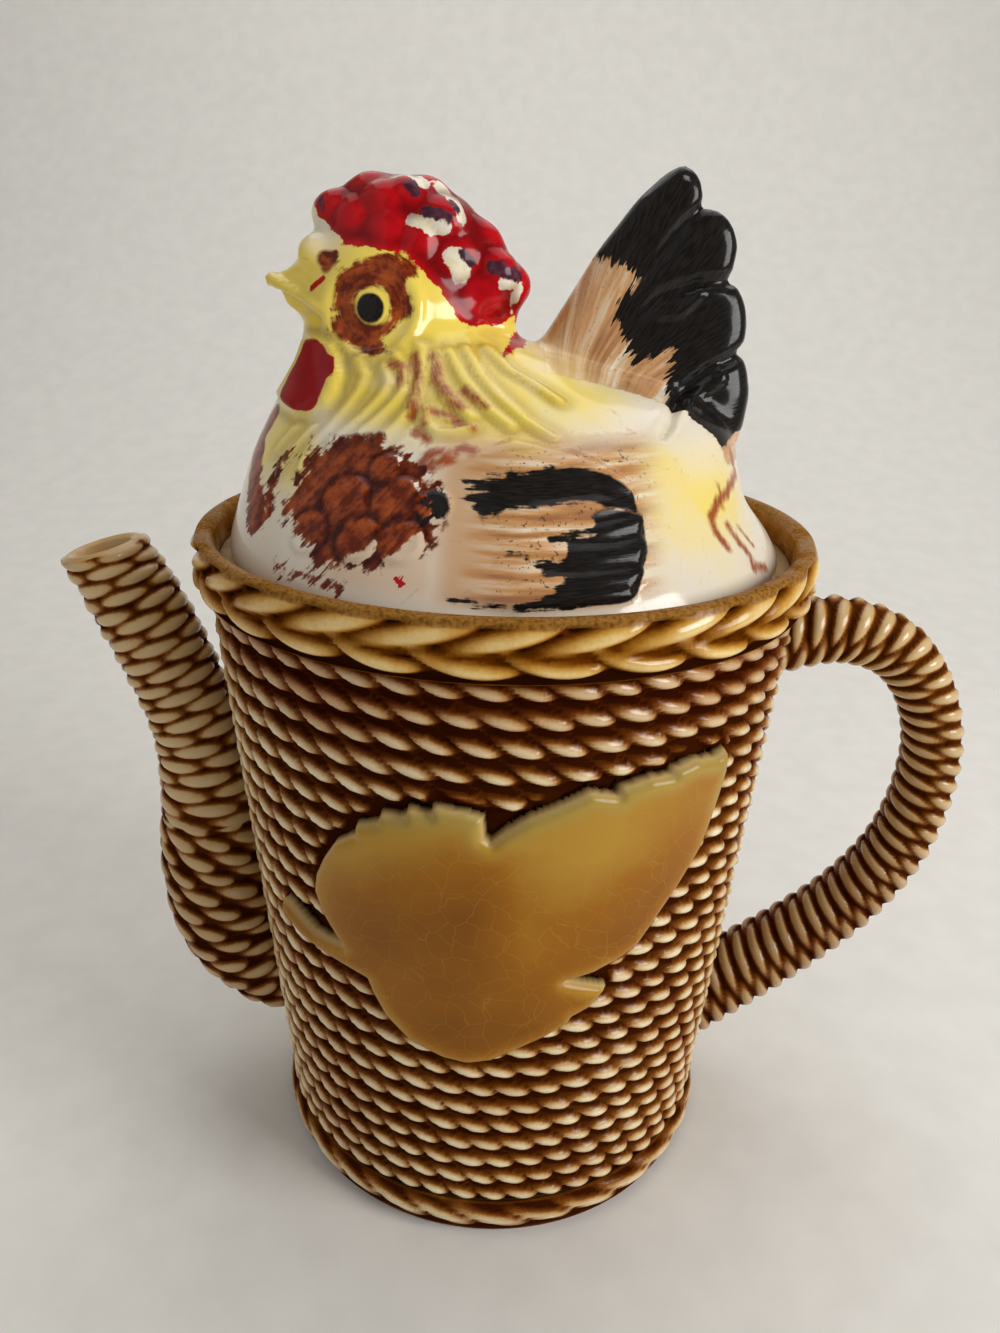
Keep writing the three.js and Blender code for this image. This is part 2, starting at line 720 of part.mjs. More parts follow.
// Comb: a beaded rose comb that rides from the brow to the nape
function comb() {
  const ridge = [
    { at: henPoint(-0.614, 0.941), girth: 0.43 },
    { at: henPoint(-0.519, 0.941), girth: 0.74 },
    { at: henPoint(-0.363, 0.933), girth: 0.91 },
    { at: henPoint(-0.19, 0.874), girth: 1 },
    { at: henPoint(-0.069, 0.763), girth: 0.77 },
    { at: henPoint(-0.043, 0.674), girth: 0.36 },
  ];
  const path = pathThrough(ridge.map(({ at }) => [at.x, lidSeat + at.y]));
  const girth = keyed(ridge.map((row, i) => [i / (ridge.length - 1), combRadius * row.girth]));
  let made = swept(path, 10, 10, (share) => girth(share)[0]);
  const beadRows = [
    { angle: 0, count: 5, start: 0.06, end: 0.92 },
    { angle: 0.9, count: 3, start: 0.2, end: 0.78 },
    { angle: -0.9, count: 3, start: 0.2, end: 0.78 },
  ];
  for (const { angle, count, start, end } of beadRows) {
    for (let i = 0; i < count; i++) {
      const share = start + ((end - start) * i) / (count - 1);
      const centre = path.getPointAt(share);
      const tangent = path.getTangentAt(share);
      const reach = girth(share)[0] - 0.35 * combBeadRadius;
      const up = new THREE.Vector3(-tangent.z, 0, tangent.x);
      centre.addScaledVector(up, reach * Math.cos(angle));
      centre.y += reach * Math.sin(angle);
      const bead = new THREE.SphereGeometry(combBeadRadius, 8, 4);
      made = made.add(solidOf(bead.translate(centre.x, centre.y, centre.z)));
    }
  }
  return made.subtract(henForm(seamGap, henSides, henRingStep));
}

// Assembly
const pot = new THREE.Group();
pot.add(
  piece("pot_body", potBody(), ropeGlaze),
  piece("rim_rope", rimRope(), rimGlaze),
  piece("foot_rope", footRope(), rimGlaze),
  piece("spout", spout(), ropeGlaze),
  piece("handle", handle(), ropeGlaze),
  piece("leaf_plaque", leaf(), leafGlaze),
);

const lid = new THREE.Group();
lid.add(
  piece("hen_body", henBody(), henGlaze),
  piece("lid_flange", lidFlange(), flangeGlaze),
  piece("comb", comb(), combPaint),
  piece("tail_fan", tailFan(), tailPaint),
  piece("right_wing", wing(1), wingPaint),
  piece("left_wing", wing(-1), wingPaint),
  piece("right_wattle", wattle(1), combPaint),
  piece("left_wattle", wattle(-1), combPaint),
  piece("right_eye", eye(1), tailPaint),
  piece("left_eye", eye(-1), tailPaint),
);

const coffeePot = new THREE.Group();
coffeePot.add(pot, lid);

export default coffeePot;
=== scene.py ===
"""Hen coffee pot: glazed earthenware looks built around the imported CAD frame."""

import math

import bpy
import numpy as np
from mathutils import Matrix, Vector


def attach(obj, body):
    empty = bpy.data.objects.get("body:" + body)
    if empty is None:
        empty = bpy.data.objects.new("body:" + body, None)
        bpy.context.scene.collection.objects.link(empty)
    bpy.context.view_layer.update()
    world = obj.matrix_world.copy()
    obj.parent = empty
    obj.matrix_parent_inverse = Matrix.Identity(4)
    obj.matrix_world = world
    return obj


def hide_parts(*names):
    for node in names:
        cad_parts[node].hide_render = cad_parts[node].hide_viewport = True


bl_info = {
    "name": "Hen coffee pot",
    "version": (1, 0, 0),
    "blender": (4, 5, 0),
    "location": "View3D > Sidebar > Hen Pot",
    "description": "Models and glazes a rope-moulded coffee pot with a hen lid",
    "category": "Object",
}

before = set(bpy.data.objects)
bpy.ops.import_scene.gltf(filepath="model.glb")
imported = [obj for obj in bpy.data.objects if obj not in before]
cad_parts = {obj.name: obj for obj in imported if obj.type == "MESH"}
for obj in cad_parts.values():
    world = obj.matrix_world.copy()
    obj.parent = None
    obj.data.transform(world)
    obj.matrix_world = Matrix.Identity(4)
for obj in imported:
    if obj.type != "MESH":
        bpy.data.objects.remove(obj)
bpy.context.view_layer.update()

MM = 0.001
SEAM_REACH = 1e-6  # metres: points this near to each other are one
TURN = 2 * math.pi
POT = "pot"
LID = "lid"

# Sizes in millimetres, shared by the pieces that meet
FOOT_RADIUS = 51.4
SHOULDER_RADIUS = 62.3
SHOULDER_HEIGHT = 139.0
MOUTH_RADIUS = 59.9
LEDGE_HEIGHT = 144.3
LEDGE_RADIUS = 52.0
WALL = 5.2
FLOOR = 6.0
FOOT_ROPE_HEIGHT = 8.0
LID_SEAT = 144.6


def wall_radius(z):
    """Radius of the rope crests at a height."""
    return FOOT_RADIUS + (SHOULDER_RADIUS - FOOT_RADIUS) * z / SHOULDER_HEIGHT


def on_wall(angle, radius, z):
    """Points round the pot's axis; angle 0 is the front and grows towards the handle."""
    return np.stack([radius * np.sin(angle), -radius * np.cos(angle), z], axis=1)


def chance(a, b):
    """A fixed number from 0 to 1 for each pair of numbers, so that repeats differ a little."""
    wave = np.sin(np.asarray(a) * 12.9898 + np.asarray(b) * 78.233) * 43758.5453
    return wave - np.floor(wave)


def smoothstep(low, high, x):
    """0 below low, 1 above high and a smooth rise between."""
    t = np.clip((x - low) / (high - low), 0, 1)
    return t * t * (3 - 2 * t)


def read(keys, values, at):
    """Reads a row of values smoothly between keys, with flat ends."""
    keys, values = np.asarray(keys, float), np.asarray(values, float)
    slopes = np.gradient(values, keys)
    at = np.clip(at, keys[0], keys[-1])
    i = np.clip(np.searchsorted(keys, at) - 1, 0, len(keys) - 2)
    width = keys[i + 1] - keys[i]
    t = (at - keys[i]) / width
    lower = (1 + 2 * t) * (1 - t) ** 2 * values[i] + t * (1 - t) ** 2 * width * slopes[i]
    upper = t * t * (3 - 2 * t) * values[i + 1] + t * t * (t - 1) * width * slopes[i + 1]
    return lower + upper


def around(count, full):
    """A count of strands taken back into one turn of its course."""
    return count - full * np.floor(count / full)


def strands(count, across, full, pitch, half_long, half_wide, lean, bow=0.0, skew=0.0, seed=0.0, fade=0.8):
    """Leaning strands in one course of rope: height from 0 to 1, and glaze from -1 in gaps to 1 on crests.

    count is the place along the course in strands, of which it holds full, and across the place across it
    in mm. Each strand is a lens with pointed ends, sharp below and soft above, fullest at skew along it.
    A higher fade ends its pale crest sooner.
    """
    soft_above, sharp_below = 1.25, 0.8
    near = np.round(count)
    height = np.zeros_like(count)
    crest = np.full_like(count, -1.0)
    second = crest.copy()
    before, after = 1 + skew, 1 - skew
    for shift in (-1, 0, 1):
        which = near + shift
        twin = around(which, full)
        size = 0.92 + 0.16 * chance(twin, seed)
        tilt = lean + 0.1 * (chance(twin, seed + 3) - 0.5)
        dx = (count - which) * pitch
        along = (dx * np.cos(tilt) - across * np.sin(tilt)) / (half_long * size)
        off = dx * np.sin(tilt) + across * np.cos(tilt) - bow * along ** 2
        body = np.clip(1 + along, 0, None) ** before * np.clip(1 - along, 0, None) ** after
        body = np.clip(body / (before ** before * after ** after), 1e-3, 1)
        wide = half_wide * size * np.where(off > 0, soft_above, sharp_below)
        roll = np.clip(1 - (off / (1.15 * wide * body ** 0.7)) ** 2, 0, 1) ** 0.9
        height = np.maximum(height, body ** 0.6 * roll)
        glow = body ** fade - (off / wide) ** 2
        second = np.maximum(second, np.minimum(crest, glow))
        crest = np.maximum(crest, glow)
    # Glaze pools where two strands meet
    return height, np.clip(crest - 0.8 * np.clip(second, 0, 1), -1, 1)


def weave(course, gap, place, vary=7.1, **shape):
    """Strands of neighbouring courses together; place gives count, full and pitch for a course."""
    k = np.floor(course)
    rows = []
    for near in (k - 1, k, k + 1):
        count, full, pitch = place(near)
        rows.append(strands(count, (course - near - 0.5) * gap, full, pitch, seed=vary * near, **shape))
    return np.max(rows, axis=0)


def rope_section(turn, squareness):
    """A rounded square section of a rope ring: how far out and up its places lie, from -1 to 1."""
    power = 2 / squareness
    cos, sin = np.cos(turn), np.sin(turn)
    return np.sign(cos) * np.abs(cos) ** power, np.sign(sin) * np.abs(sin) ** power


def read_points(mesh, key):
    """A vector for each point of a mesh, such as its place or its normal."""
    flat = np.empty(len(mesh.vertices) * 3)
    mesh.vertices.foreach_get(key, flat)
    return flat.reshape(-1, 3)


def write_field(mesh, name, values):
    """Stores a number or a vector for each point of a mesh, for its paint."""
    kind, key = ("FLOAT", "value") if values.ndim == 1 else ("FLOAT_VECTOR", "vector")
    mesh.attributes.new(name, kind, "POINT").data.foreach_set(key, values.astype(np.float32).ravel())


def grid_piece(name, columns, rows, place, wrapped=True):
    """A grid whose points place(u, v) lays on a surface, in mm, with named fields for its paint."""
    bpy.ops.object.select_all(action="DESELECT")
    bpy.ops.mesh.primitive_grid_add(x_subdivisions=columns, y_subdivisions=rows, size=2)
    piece = bpy.context.object
    piece.name = piece.data.name = name
    mesh = piece.data
    flat = (read_points(mesh, "co") + 1) / 2
    u = np.rint(flat[:, 0] * columns) / columns
    v = np.rint(flat[:, 1] * rows) / rows
    points, fields = place(u, v)
    mesh.vertices.foreach_set("co", (points * MM).ravel())
    for field, values in fields.items():
        write_field(mesh, field, values)
    if wrapped:
        close_seams()
    bpy.ops.object.shade_smooth()
    return piece


def close_seams():
    """Merges the active piece's points that meet, caps its open ends and turns its faces outwards."""
    bpy.ops.object.mode_set(mode="EDIT")
    bpy.ops.mesh.select_all(action="SELECT")
    bpy.ops.mesh.remove_doubles(threshold=SEAM_REACH)
    bpy.ops.mesh.delete_loose()
    bpy.ops.mesh.select_all(action="SELECT")
    bpy.ops.mesh.fill_holes(sides=0)
    bpy.ops.mesh.normals_make_consistent(inside=False)
    bpy.ops.object.mode_set(mode="OBJECT")


def dress(piece, material, body, slot, *nodes):
    """Gives a finished piece its glaze and body and hides the CAD nodes that it stands for; slot is not
    used.
    """
    piece.data.materials.clear()
    piece.data.materials.append(material)
    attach(piece, body)
    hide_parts(*nodes)


# Colours and nodes

def linear(code):
    """An sRGB hex colour as linear RGBA."""
    parts = [int(code[i:i + 2], 16) / 255 for i in (1, 3, 5)]
    return tuple(c / 12.92 if c <= 0.04045 else ((c + 0.055) / 1.055) ** 2.4 for c in parts) + (1,)


def node(tree, kind, out=0, stops=(), **given):
    """Adds a shader node and returns one of its outputs.

    given holds settings by their names, and sockets by name or as i and their number. A socket takes a
    value or another node's output. A ramp's first two stops take its two elements.
    """
    made = tree.nodes.new("ShaderNode" + kind)
    for i, (place, colour) in enumerate(stops):
        element = made.color_ramp.elements[i] if i < 2 else made.color_ramp.elements.new(place)
        element.position = place
        element.color = colour
    for key, value in given.items():
        if hasattr(made, key):
            setattr(made, key, value)
            continue
        numbered = key[0] == "i" and key[1:].isdigit()
        socket = made.inputs[int(key[1:]) if numbered else key.replace("_", " ")]
        if isinstance(value, bpy.types.NodeSocket):
            tree.links.new(value, socket)
        else:
            socket.default_value = value
    return made.outputs[out] if made.outputs else None


def new_material(name):
    """An empty node material and its tree."""
    material = bpy.data.materials.new(name)
    material.use_nodes = True
    material.node_tree.nodes.clear()
    return material, material.node_tree


def glaze(tree, colour, roughness, normal, shine):
    """Fired glaze: a clear coat over a coloured body, so that the eye sees wet, sharp lights."""
    glass_ior = 1.5
    shader = node(
        tree, "BsdfPrincipled", Base_Color=colour, Roughness=roughness, IOR=glass_ior, Normal=normal,
        Specular_IOR_Level=shine, Coat_Weight=shine, Coat_Roughness=0.09, Coat_IOR=glass_ior,
    )
    node(tree, "OutputMaterial", Surface=shader)


def rope_glaze(name, stops, wash, roughness):
    """Cream glaze over moulded rope that pools brown in the grooves.

    The eye sees pale crests, amber flanks where the glaze runs thin and near-black grooves.
    """
    material, tree = new_material(name)
    place = node(tree, "TexCoord", out="Object")
    crest = node(tree, "Attribute", out="Fac", attribute_name="crest")
    # Mottle about 6 mm wide, and specks about 0.7 mm wide
    mottle = node(tree, "TexNoise", Vector=place, Scale=170.0, Detail=3.0)
    speck = node(tree, "TexNoise", Vector=place, Scale=1400.0, Detail=2.0)
    shift = node(tree, "Math", operation="MULTIPLY_ADD", i0=mottle, i1=0.24, i2=0.38)
    level = node(tree, "Math", operation="MULTIPLY_ADD", i0=crest, i1=0.5, i2=shift)
    fine = node(tree, "Math", operation="MULTIPLY_ADD", i0=speck, i1=0.1, i2=-0.05)
    level = node(tree, "Math", operation="ADD", i0=level, i1=fine)
    base = node(tree, "ValToRGB", stops=stops, Fac=level)
    # Thin brown wash in patches about 25 mm wide
    patch = node(tree, "TexNoise", Vector=place, Scale=40.0, Detail=2.0)
    amount = node(tree, "MapRange", i0=patch, i1=0.42, i2=0.72, i3=0.0, i4=0.4)
    thick = node(tree, "Attribute", out="Fac", attribute_name="wash")
    amount = node(tree, "Math", operation="ADD", use_clamp=True, i0=amount, i1=thick)
    washed = node(
        tree, "Mix", out=2, data_type="RGBA", blend_type="MULTIPLY", i0=amount, i6=base, i7=wash,
    )
    # Matt brown biscuit where the lip has worn through
    worn = node(tree, "Attribute", out="Fac", attribute_name="worn")
    ragged = node(tree, "Math", operation="MULTIPLY_ADD", i0=mottle, i1=1.2, i2=-0.6)
    ragged = node(tree, "Math", operation="MULTIPLY_ADD", i0=worn, i1=1.6, i2=ragged)
    bare = node(tree, "MapRange", i0=ragged, i1=0.35, i2=0.9, i3=0.0, i4=0.85)
    biscuit = node(
        tree, "ValToRGB", stops=((0.3, linear("#6E4416")), (0.6, linear("#9C6E30"))), Fac=speck,
    )
    colour = node(tree, "Mix", out=2, data_type="RGBA", i0=bare, i6=washed, i7=biscuit)
    dull = node(tree, "MapRange", i0=bare, i1=0.0, i2=1.0, i3=roughness, i4=0.34)
    bump = node(tree, "Bump", Strength=0.12, Distance=0.0004, Height=mottle)
    # Little light comes back out of the pooled glaze
    shine = node(tree, "MapRange", i0=level, i1=0.6, i2=0.95, i3=0.0, i4=0.35)
    glaze(tree, colour, dull, bump, shine)
    return material


def leaf_glaze(name, colours):
    """Thick amber glaze on a flat leaf, with fine crazing.

    The eye sees an even ochre pool, darker low down, a pale worn edge and a net of hair cracks.
    """
    material, tree = new_material(name)
    place = node(tree, "TexCoord", out="Object")
    edge = node(tree, "Attribute", out="Fac", attribute_name="edge")
    # Darker where the glaze is thick, with a painted shadow under the notch
    low = node(tree, "Attribute", out="Fac", attribute_name="low")
    # Clouds about 22 mm wide
    cloud = node(tree, "TexNoise", Vector=place, Scale=45.0, Detail=3.0)
    level = node(tree, "Math", operation="MULTIPLY_ADD", i0=cloud, i1=0.9, i2=-0.45)
    level = node(tree, "Math", operation="ADD", i0=low, i1=level)
    pool = node(
        tree, "ValToRGB", Fac=level,
        stops=((0.1, colours.leaf_light), (0.95, linear("#7E4800")), (0.5, colours.leaf)),
    )
    pale = node(tree, "MapRange", i0=edge, i1=0.15, i2=0.85, i3=0.5, i4=0.0)
    rimmed = node(tree, "Mix", out=2, data_type="RGBA", i0=pale, i6=pool, i7=linear("#E3CB93"))
    # Dark glaze pooled against the wall
    foot = node(tree, "MapRange", i0=edge, i1=-0.5, i2=0.15, i3=1.0, i4=0.0)
    rooted = node(tree, "Mix", out=2, data_type="RGBA", i0=foot, i6=rimmed, i7=linear("#3A1D08"))
    # Green tinge where the glaze gathers under the upper edge
    green = node(tree, "Attribute", out="Fac", attribute_name="green")
    tinged = node(tree, "Mix", out=2, data_type="RGBA", i0=green, i6=rooted, i7=linear("#9C9A5A"))
    # Crazing: cells about 5 mm wide with cracks about 0.1 mm wide
    bent = node(tree, "TexNoise", out="Color", Vector=place, Scale=120.0, Detail=2.0)
    warped = node(
        tree, "VectorMath", operation="MULTIPLY_ADD", i0=bent, i1=(0.006, 0.006, 0.006), i2=place,
    )
    crack = node(tree, "TexVoronoi", feature="DISTANCE_TO_EDGE", Vector=warped, Scale=200.0)
    line = node(tree, "MapRange", i0=crack, i1=0.0, i2=0.02, i3=0.3, i4=0.0)
    colour = node(tree, "Mix", out=2, data_type="RGBA", i0=line, i6=tinged, i7=linear("#C0923E"))
    bump = node(tree, "Bump", Strength=0.1, Distance=0.0005, Height=cloud)
    glaze(tree, colour, 0.2, bump, 0.13)
    return material


def hen_glaze(name, colours):
    """White glaze with sprayed yellow and peach and brushed enamel over it.

    The eye sees soft sprayed shading, dry streaks at the ends of the strokes and a wet gloss over all.
    """
    material, tree = new_material(name)
    place = node(tree, "TexCoord", out="Object")
    fields = {
        key: node(tree, "Attribute", out="Fac", attribute_name=key)
        for key in ("yellow", "peach", "sand", "rust", "dip", "rag", "blot")
    }
    lay = node(tree, "Attribute", out="Vector", attribute_name="lay")
    # Bristle streaks about 0.8 mm wide and 10 mm long, and finer ones 0.3 mm wide
    stretched = node(tree, "VectorMath", operation="MULTIPLY", i0=lay, i1=(0.11, 1.25, 1.0))
    streak = node(tree, "TexNoise", Vector=stretched, Scale=1.0, Detail=3.0, Roughness=0.65)
    fine = node(tree, "TexNoise", Vector=stretched, Scale=3.0, Detail=2.0)
    # Ripples about 4 mm wide
    mottle = node(tree, "TexNoise", Vector=place, Scale=260.0, Detail=3.0)
    # Blots about 3 mm wide
    spots = node(tree, "TexNoise", Vector=place, Scale=360.0, Detail=3.0, Roughness=0.6)
    # Sprayed colours, in clouds about 10 mm wide
    cloud = node(tree, "TexNoise", Vector=place, Scale=100.0, Detail=2.0)
    cloud = node(tree, "Math", operation="MULTIPLY_ADD", i0=cloud, i1=1.7, i2=-0.98)
    sprayed = node(tree, "Math", operation="MULTIPLY_ADD", i0=mottle, i1=0.5, i2=cloud)
    amount = node(tree, "Math", operation="ADD", use_clamp=True, i0=fields["yellow"], i1=sprayed)
    amount = node(tree, "Math", operation="MULTIPLY", i0=amount, i1=fields["yellow"])
    colour = node(tree, "Mix", out=2, data_type="RGBA", i0=amount, i6=colours.hen_white, i7=colours.lemon)
    olive = node(tree, "Math", operation="MULTIPLY", i0=fields["dip"], i1=amount)
    olive = node(tree, "Math", operation="MULTIPLY", i0=olive, i1=0.75)
    colour = node(tree, "Mix", out=2, data_type="RGBA", i0=olive, i6=colour, i7=linear("#9A7A2C"))
    # Tan in soft bands about 3 mm wide, with dark specks about 0.5 mm wide
    bands = node(tree, "TexNoise", Vector=stretched, Scale=0.3, Detail=2.0)
    bands = node(tree, "Math", operation="MULTIPLY_ADD", i0=streak, i1=0.4, i2=bands)
    bands = node(tree, "Mix", data_type="FLOAT", i0=fields["sand"], i2=0.74, i3=bands)
    tan = node(
        tree, "ValToRGB", Fac=bands,
        stops=((0.55, linear("#9E602C")), (0.86, linear("#EEDFC4")), (0.7, colours.peach)),
    )
    grit = node(tree, "TexNoise", Vector=place, Scale=1300.0, Detail=1.0)
    grit = node(tree, "MapRange", i0=grit, i1=0.64, i2=0.7, i3=0.0, i4=0.8)
    rough = node(tree, "MapRange", i0=fields["sand"], i1=0.7, i2=0.95)
    grit = node(tree, "Math", operation="MULTIPLY", i0=grit, i1=rough)
    tan = node(tree, "Mix", out=2, data_type="RGBA", i0=grit, i6=tan, i7=linear("#3A2A1C"))
    colour = node(tree, "Mix", out=2, data_type="RGBA", i0=fields["peach"], i6=colour, i7=tan)
    # Edges strayed along the bristles and in blots
    centred = node(tree, "Math", operation="SUBTRACT", i0=streak, i1=0.5)
    reach = node(tree, "Math", operation="MULTIPLY", i0=centred, i1=fields["rag"])
    offset = node(tree, "Math", operation="SUBTRACT", i0=spots, i1=0.5)
    # Thin rust that lets the ground through between the bristles
    dry = node(tree, "Math", operation="MULTIPLY_ADD", i0=centred, i1=1.1, i2=fields["rust"])
    dry = node(tree, "Math", operation="MULTIPLY_ADD", i0=offset, i1=1.2, i2=dry)
    dry = node(tree, "MapRange", i0=dry, i1=0.2, i2=0.9, i3=0.0, i4=0.95)
    colour = node(tree, "Mix", out=2, data_type="RGBA", i0=dry, i6=colour, i7=linear("#9C420E"))
    offset = node(tree, "Math", operation="MULTIPLY", i0=offset, i1=fields["blot"])
    reach = node(tree, "Math", operation="ADD", i0=reach, i1=offset)
    reach = node(tree, "Math", operation="MULTIPLY", i0=reach, i1=2.2)
    brushed = node(tree, "Mix", data_type="FLOAT", i0=0.65, i2=streak, i3=spots)
    # Brushed enamels and a painted reflection on the comb's beads: softness of the edge in mm, dense and
    # thin colours and the grain that mixes them
    covers = {}
    enamels = (
        ("brown", 0.5, colours.chestnut, linear("#AA4E1C"), brushed),
        ("black", 0.25, colours.black, linear("#241F1C"), fine),
        ("red", 0.14, colours.red, linear("#AE0812"), spots),
        ("chip", 0.12, linear("#EFE6D6"), linear("#E6DAB4"), spots),
        # The last row is a painted reflection on the comb's beads
        ("bead_sheen", 0.25, linear("#43202F"), linear("#6C3A48"), spots),
    )
    for key, soft, dense, thin, grain in enamels:
        depth = node(tree, "Attribute", out="Fac", attribute_name=key)
        ragged = node(tree, "Math", operation="ADD", i0=depth, i1=reach)
        cover = node(tree, "MapRange", interpolation_type="SMOOTHSTEP", i0=ragged, i1=-soft, i2=soft)
        share = node(tree, "MapRange", i0=grain, i1=0.4, i2=0.58)
        shade = node(tree, "Mix", out=2, data_type="RGBA", i0=share, i6=thin, i7=dense)
        colour = node(tree, "Mix", out=2, data_type="RGBA", i0=cover, i6=colour, i7=shade)
        covers[key] = cover
    # Enamel lies thick and dark down in the grooves; between the comb's beads this darkening is painted
    # shade
    pooled = node(tree, "Math", operation="MAXIMUM", i0=covers["red"], i1=covers["brown"])
    pooled = node(tree, "Math", operation="MULTIPLY", i0=pooled, i1=fields["dip"])
    colour = node(
        tree, "Mix", out=2, data_type="RGBA", blend_type="MULTIPLY", i0=pooled, i6=colour,
        i7=linear("#74403A"),
    )
    dull = node(tree, "MapRange", i0=fine, i1=0.3, i2=0.7, i3=0.1, i4=0.22)
    ridged = node(tree, "Math", operation="MULTIPLY", i0=fine, i1=covers["black"])
    height = node(tree, "Math", operation="MULTIPLY_ADD", i0=ridged, i1=0.8, i2=mottle)
    bump = node(tree, "Bump", Strength=0.12, Distance=0.0003, Height=height)
    # The dark enamels lie thin and reflect less than the clear glaze
    dark = node(tree, "Math", operation="MAXIMUM", i0=covers["red"], i1=covers["black"])
    dark = node(tree, "Math", operation="MAXIMUM", i0=dark, i1=covers["brown"])
    shine = node(tree, "MapRange", i0=dark, i1=0.0, i2=1.0, i3=0.35, i4=0.13)
    glaze(tree, colour, dull, bump, shine)
    return material


def flange_glaze(name, colours):
    """Thin white glaze; the eye sees an even, quiet ring with a faint warm mottle."""
    material, tree = new_material(name)
    place = node(tree, "TexCoord", out="Object")
    # Mottle about 6 mm wide
    mottle = node(tree, "TexNoise", Vector=place, Scale=170.0, Detail=3.0)
    colour = node(
        tree, "ValToRGB", Fac=mottle, stops=((0.3, linear("#D8C8A8")), (0.6, colours.hen_white)),
    )
    bump = node(tree, "Bump", Strength=0.1, Distance=0.0003, Height=mottle)
    glaze(tree, colour, 0.25, bump, 0.3)
    return material


# Pot pieces

COURSES = 24
STRANDS = 50
LAY = 1.41  # strands that each course starts further round than the one under it
ROPE_DEPTH = 1.9


def wall_rows():
    """Rows of the pot body from its base, up the wall and down inside: radius, height and course."""
    under_cord = 2.4
    cord_inside = 7.5
    per_course = 7.5
    lip = MOUTH_RADIUS - 0.3
    profile = [(0, 0), (20, 0), (40, 0), (wall_radius(0) - under_cord, 0)]
    profile += [(wall_radius(cord_inside) - under_cord, cord_inside)]
    rows = [(radius, z, -1) for radius, z in profile]
    steps = int(COURSES * per_course)
    for i in range(steps + 1):
        z = FOOT_ROPE_HEIGHT + (SHOULDER_HEIGHT - FOOT_ROPE_HEIGHT) * i / steps
        rows.append((wall_radius(z), z, COURSES * i / steps))
    profile = [(lip, SHOULDER_HEIGHT), (lip, LEDGE_HEIGHT), (LEDGE_RADIUS + 1, LEDGE_HEIGHT)]
    profile += [(LEDGE_RADIUS, LEDGE_HEIGHT - 1), (LEDGE_RADIUS, 140.0), (LEDGE_RADIUS + 0.8, 138.6)]
    profile += [(wall_radius(z) - WALL, z) for z in (133, 100, 60, 30, 14)]
    profile += [(46.3, 10), (44, 7.3), (40, FLOOR), (20, FLOOR), (0, FLOOR)]
    rows += [(radius, z, -1) for radius, z in profile]
    return np.array(rows)


def rope_wall(u, v):
    """The pot body: roped outside, smooth inside."""
    table = wall_rows()
    row = np.rint(v * (len(table) - 1)).astype(int)
    radius, z, course = table[row].T
    angle = TURN * (u - 0.5)
    rope = course >= 0
    tall = (SHOULDER_HEIGHT - FOOT_ROPE_HEIGHT) / COURSES
    pitch = TURN * wall_radius(z) / STRANDS

    def place(k):
        return around(angle / TURN * STRANDS + LAY * k, STRANDS), STRANDS, pitch

    height, crest = weave(
        np.clip(course, 0, COURSES - 0.01), tall, place,
        half_long=0.72 * pitch, half_wide=1.5, lean=0.3, bow=0.6, skew=0.2, fade=1.25)
    crest = crest + 0.06
    # Glaze pools against the leaf's edge and fills the rope there
    depth = leaf_depth(angle, z)
    pool = smoothstep(-2.6, -0.8, depth) * smoothstep(64, 71, z)
    height *= 1 - 0.6 * pool
    crest -= 1.3 * pool
    radius = np.where(rope, radius - ROPE_DEPTH + ROPE_DEPTH * height, radius)
    wash = 0.5 * smoothstep(112, 134, z) * rope
    return on_wall(angle, radius, z), {"crest": np.where(rope, np.clip(crest, -1, 1), 0.75), "wash": wash}


def rim_plait(u, v):
    """The mouth rope: two rows of strands that lean opposite ways under a smooth lip."""
    angle = TURN * (u - 0.5)
    side, rise = rope_section(TURN * v, 2.7)
    radius = 62.45 + 2.55 * side
    z = 144.35 + 5.7 * rise
    row = 27
    pitch = TURN * 64.5 / row
    count = angle / TURN * row
    upper, upper_crest = strands(
        count, z - 146.2, row, pitch,
        half_long=11.0, half_wide=1.95, lean=-0.25, bow=0.5, skew=0.2, seed=7.0)
    lower, lower_crest = strands(
        count + 0.5, z - 141.4, row, pitch,
        half_long=9.6, half_wide=1.6, lean=0.2, bow=1.8, skew=0.25, seed=9.0)
    outside = smoothstep(0.25, 0.8, side) * smoothstep(149.7, 148.2, z)
    radius = radius + outside * (1.7 * np.maximum(upper, lower) - 1.4)
    worn = smoothstep(148.0, 149.4, z)
    crest = 0.25 + outside * (np.maximum(upper_crest, lower_crest) - 0.25)
    return on_wall(angle, radius, z), {"crest": crest, "worn": worn}


def foot_cord(u, v):
    """The foot rope: one cord of long strands that the pot stands on."""
    angle = TURN * (u - 0.5)
    side, rise = rope_section(TURN * v, 2.6)
    z = 4.05 + 4.05 * rise
    radius = wall_radius(z) - 0.75 + 1.75 * side
    count = 29
    pitch = TURN * 52.0 / count
    height, crest = strands(
        angle / TURN * count, z - 4.6, count, pitch,
        half_long=9.4, half_wide=1.85, lean=0.24, bow=0.8, skew=0.2, seed=11.0)
    outside = smoothstep(0.0, 0.6, side) * smoothstep(0.0, 1.6, z)
    radius = radius + outside * (1.2 * height - 0.7)
    return on_wall(angle, radius, z), {"crest": 0.3 + outside * (np.maximum(crest, -0.2) - 0.3)}


PATH_SAMPLES = 400


def path_frame(points):
    """A smooth path through [x, z] points in the XZ plane: length, places and tangents by share."""
    points = np.asarray(points, float)
    keys = np.concatenate([[0], np.cumsum(np.linalg.norm(np.diff(points, axis=0), axis=1))])
    t = np.linspace(0, keys[-1], PATH_SAMPLES)
    x, z = read(keys, points[:, 0], t), read(keys, points[:, 1], t)
    run = np.concatenate([[0], np.cumsum(np.hypot(np.diff(x), np.diff(z)))])
    return run, x, z, np.gradient(x, run), np.gradient(z, run)


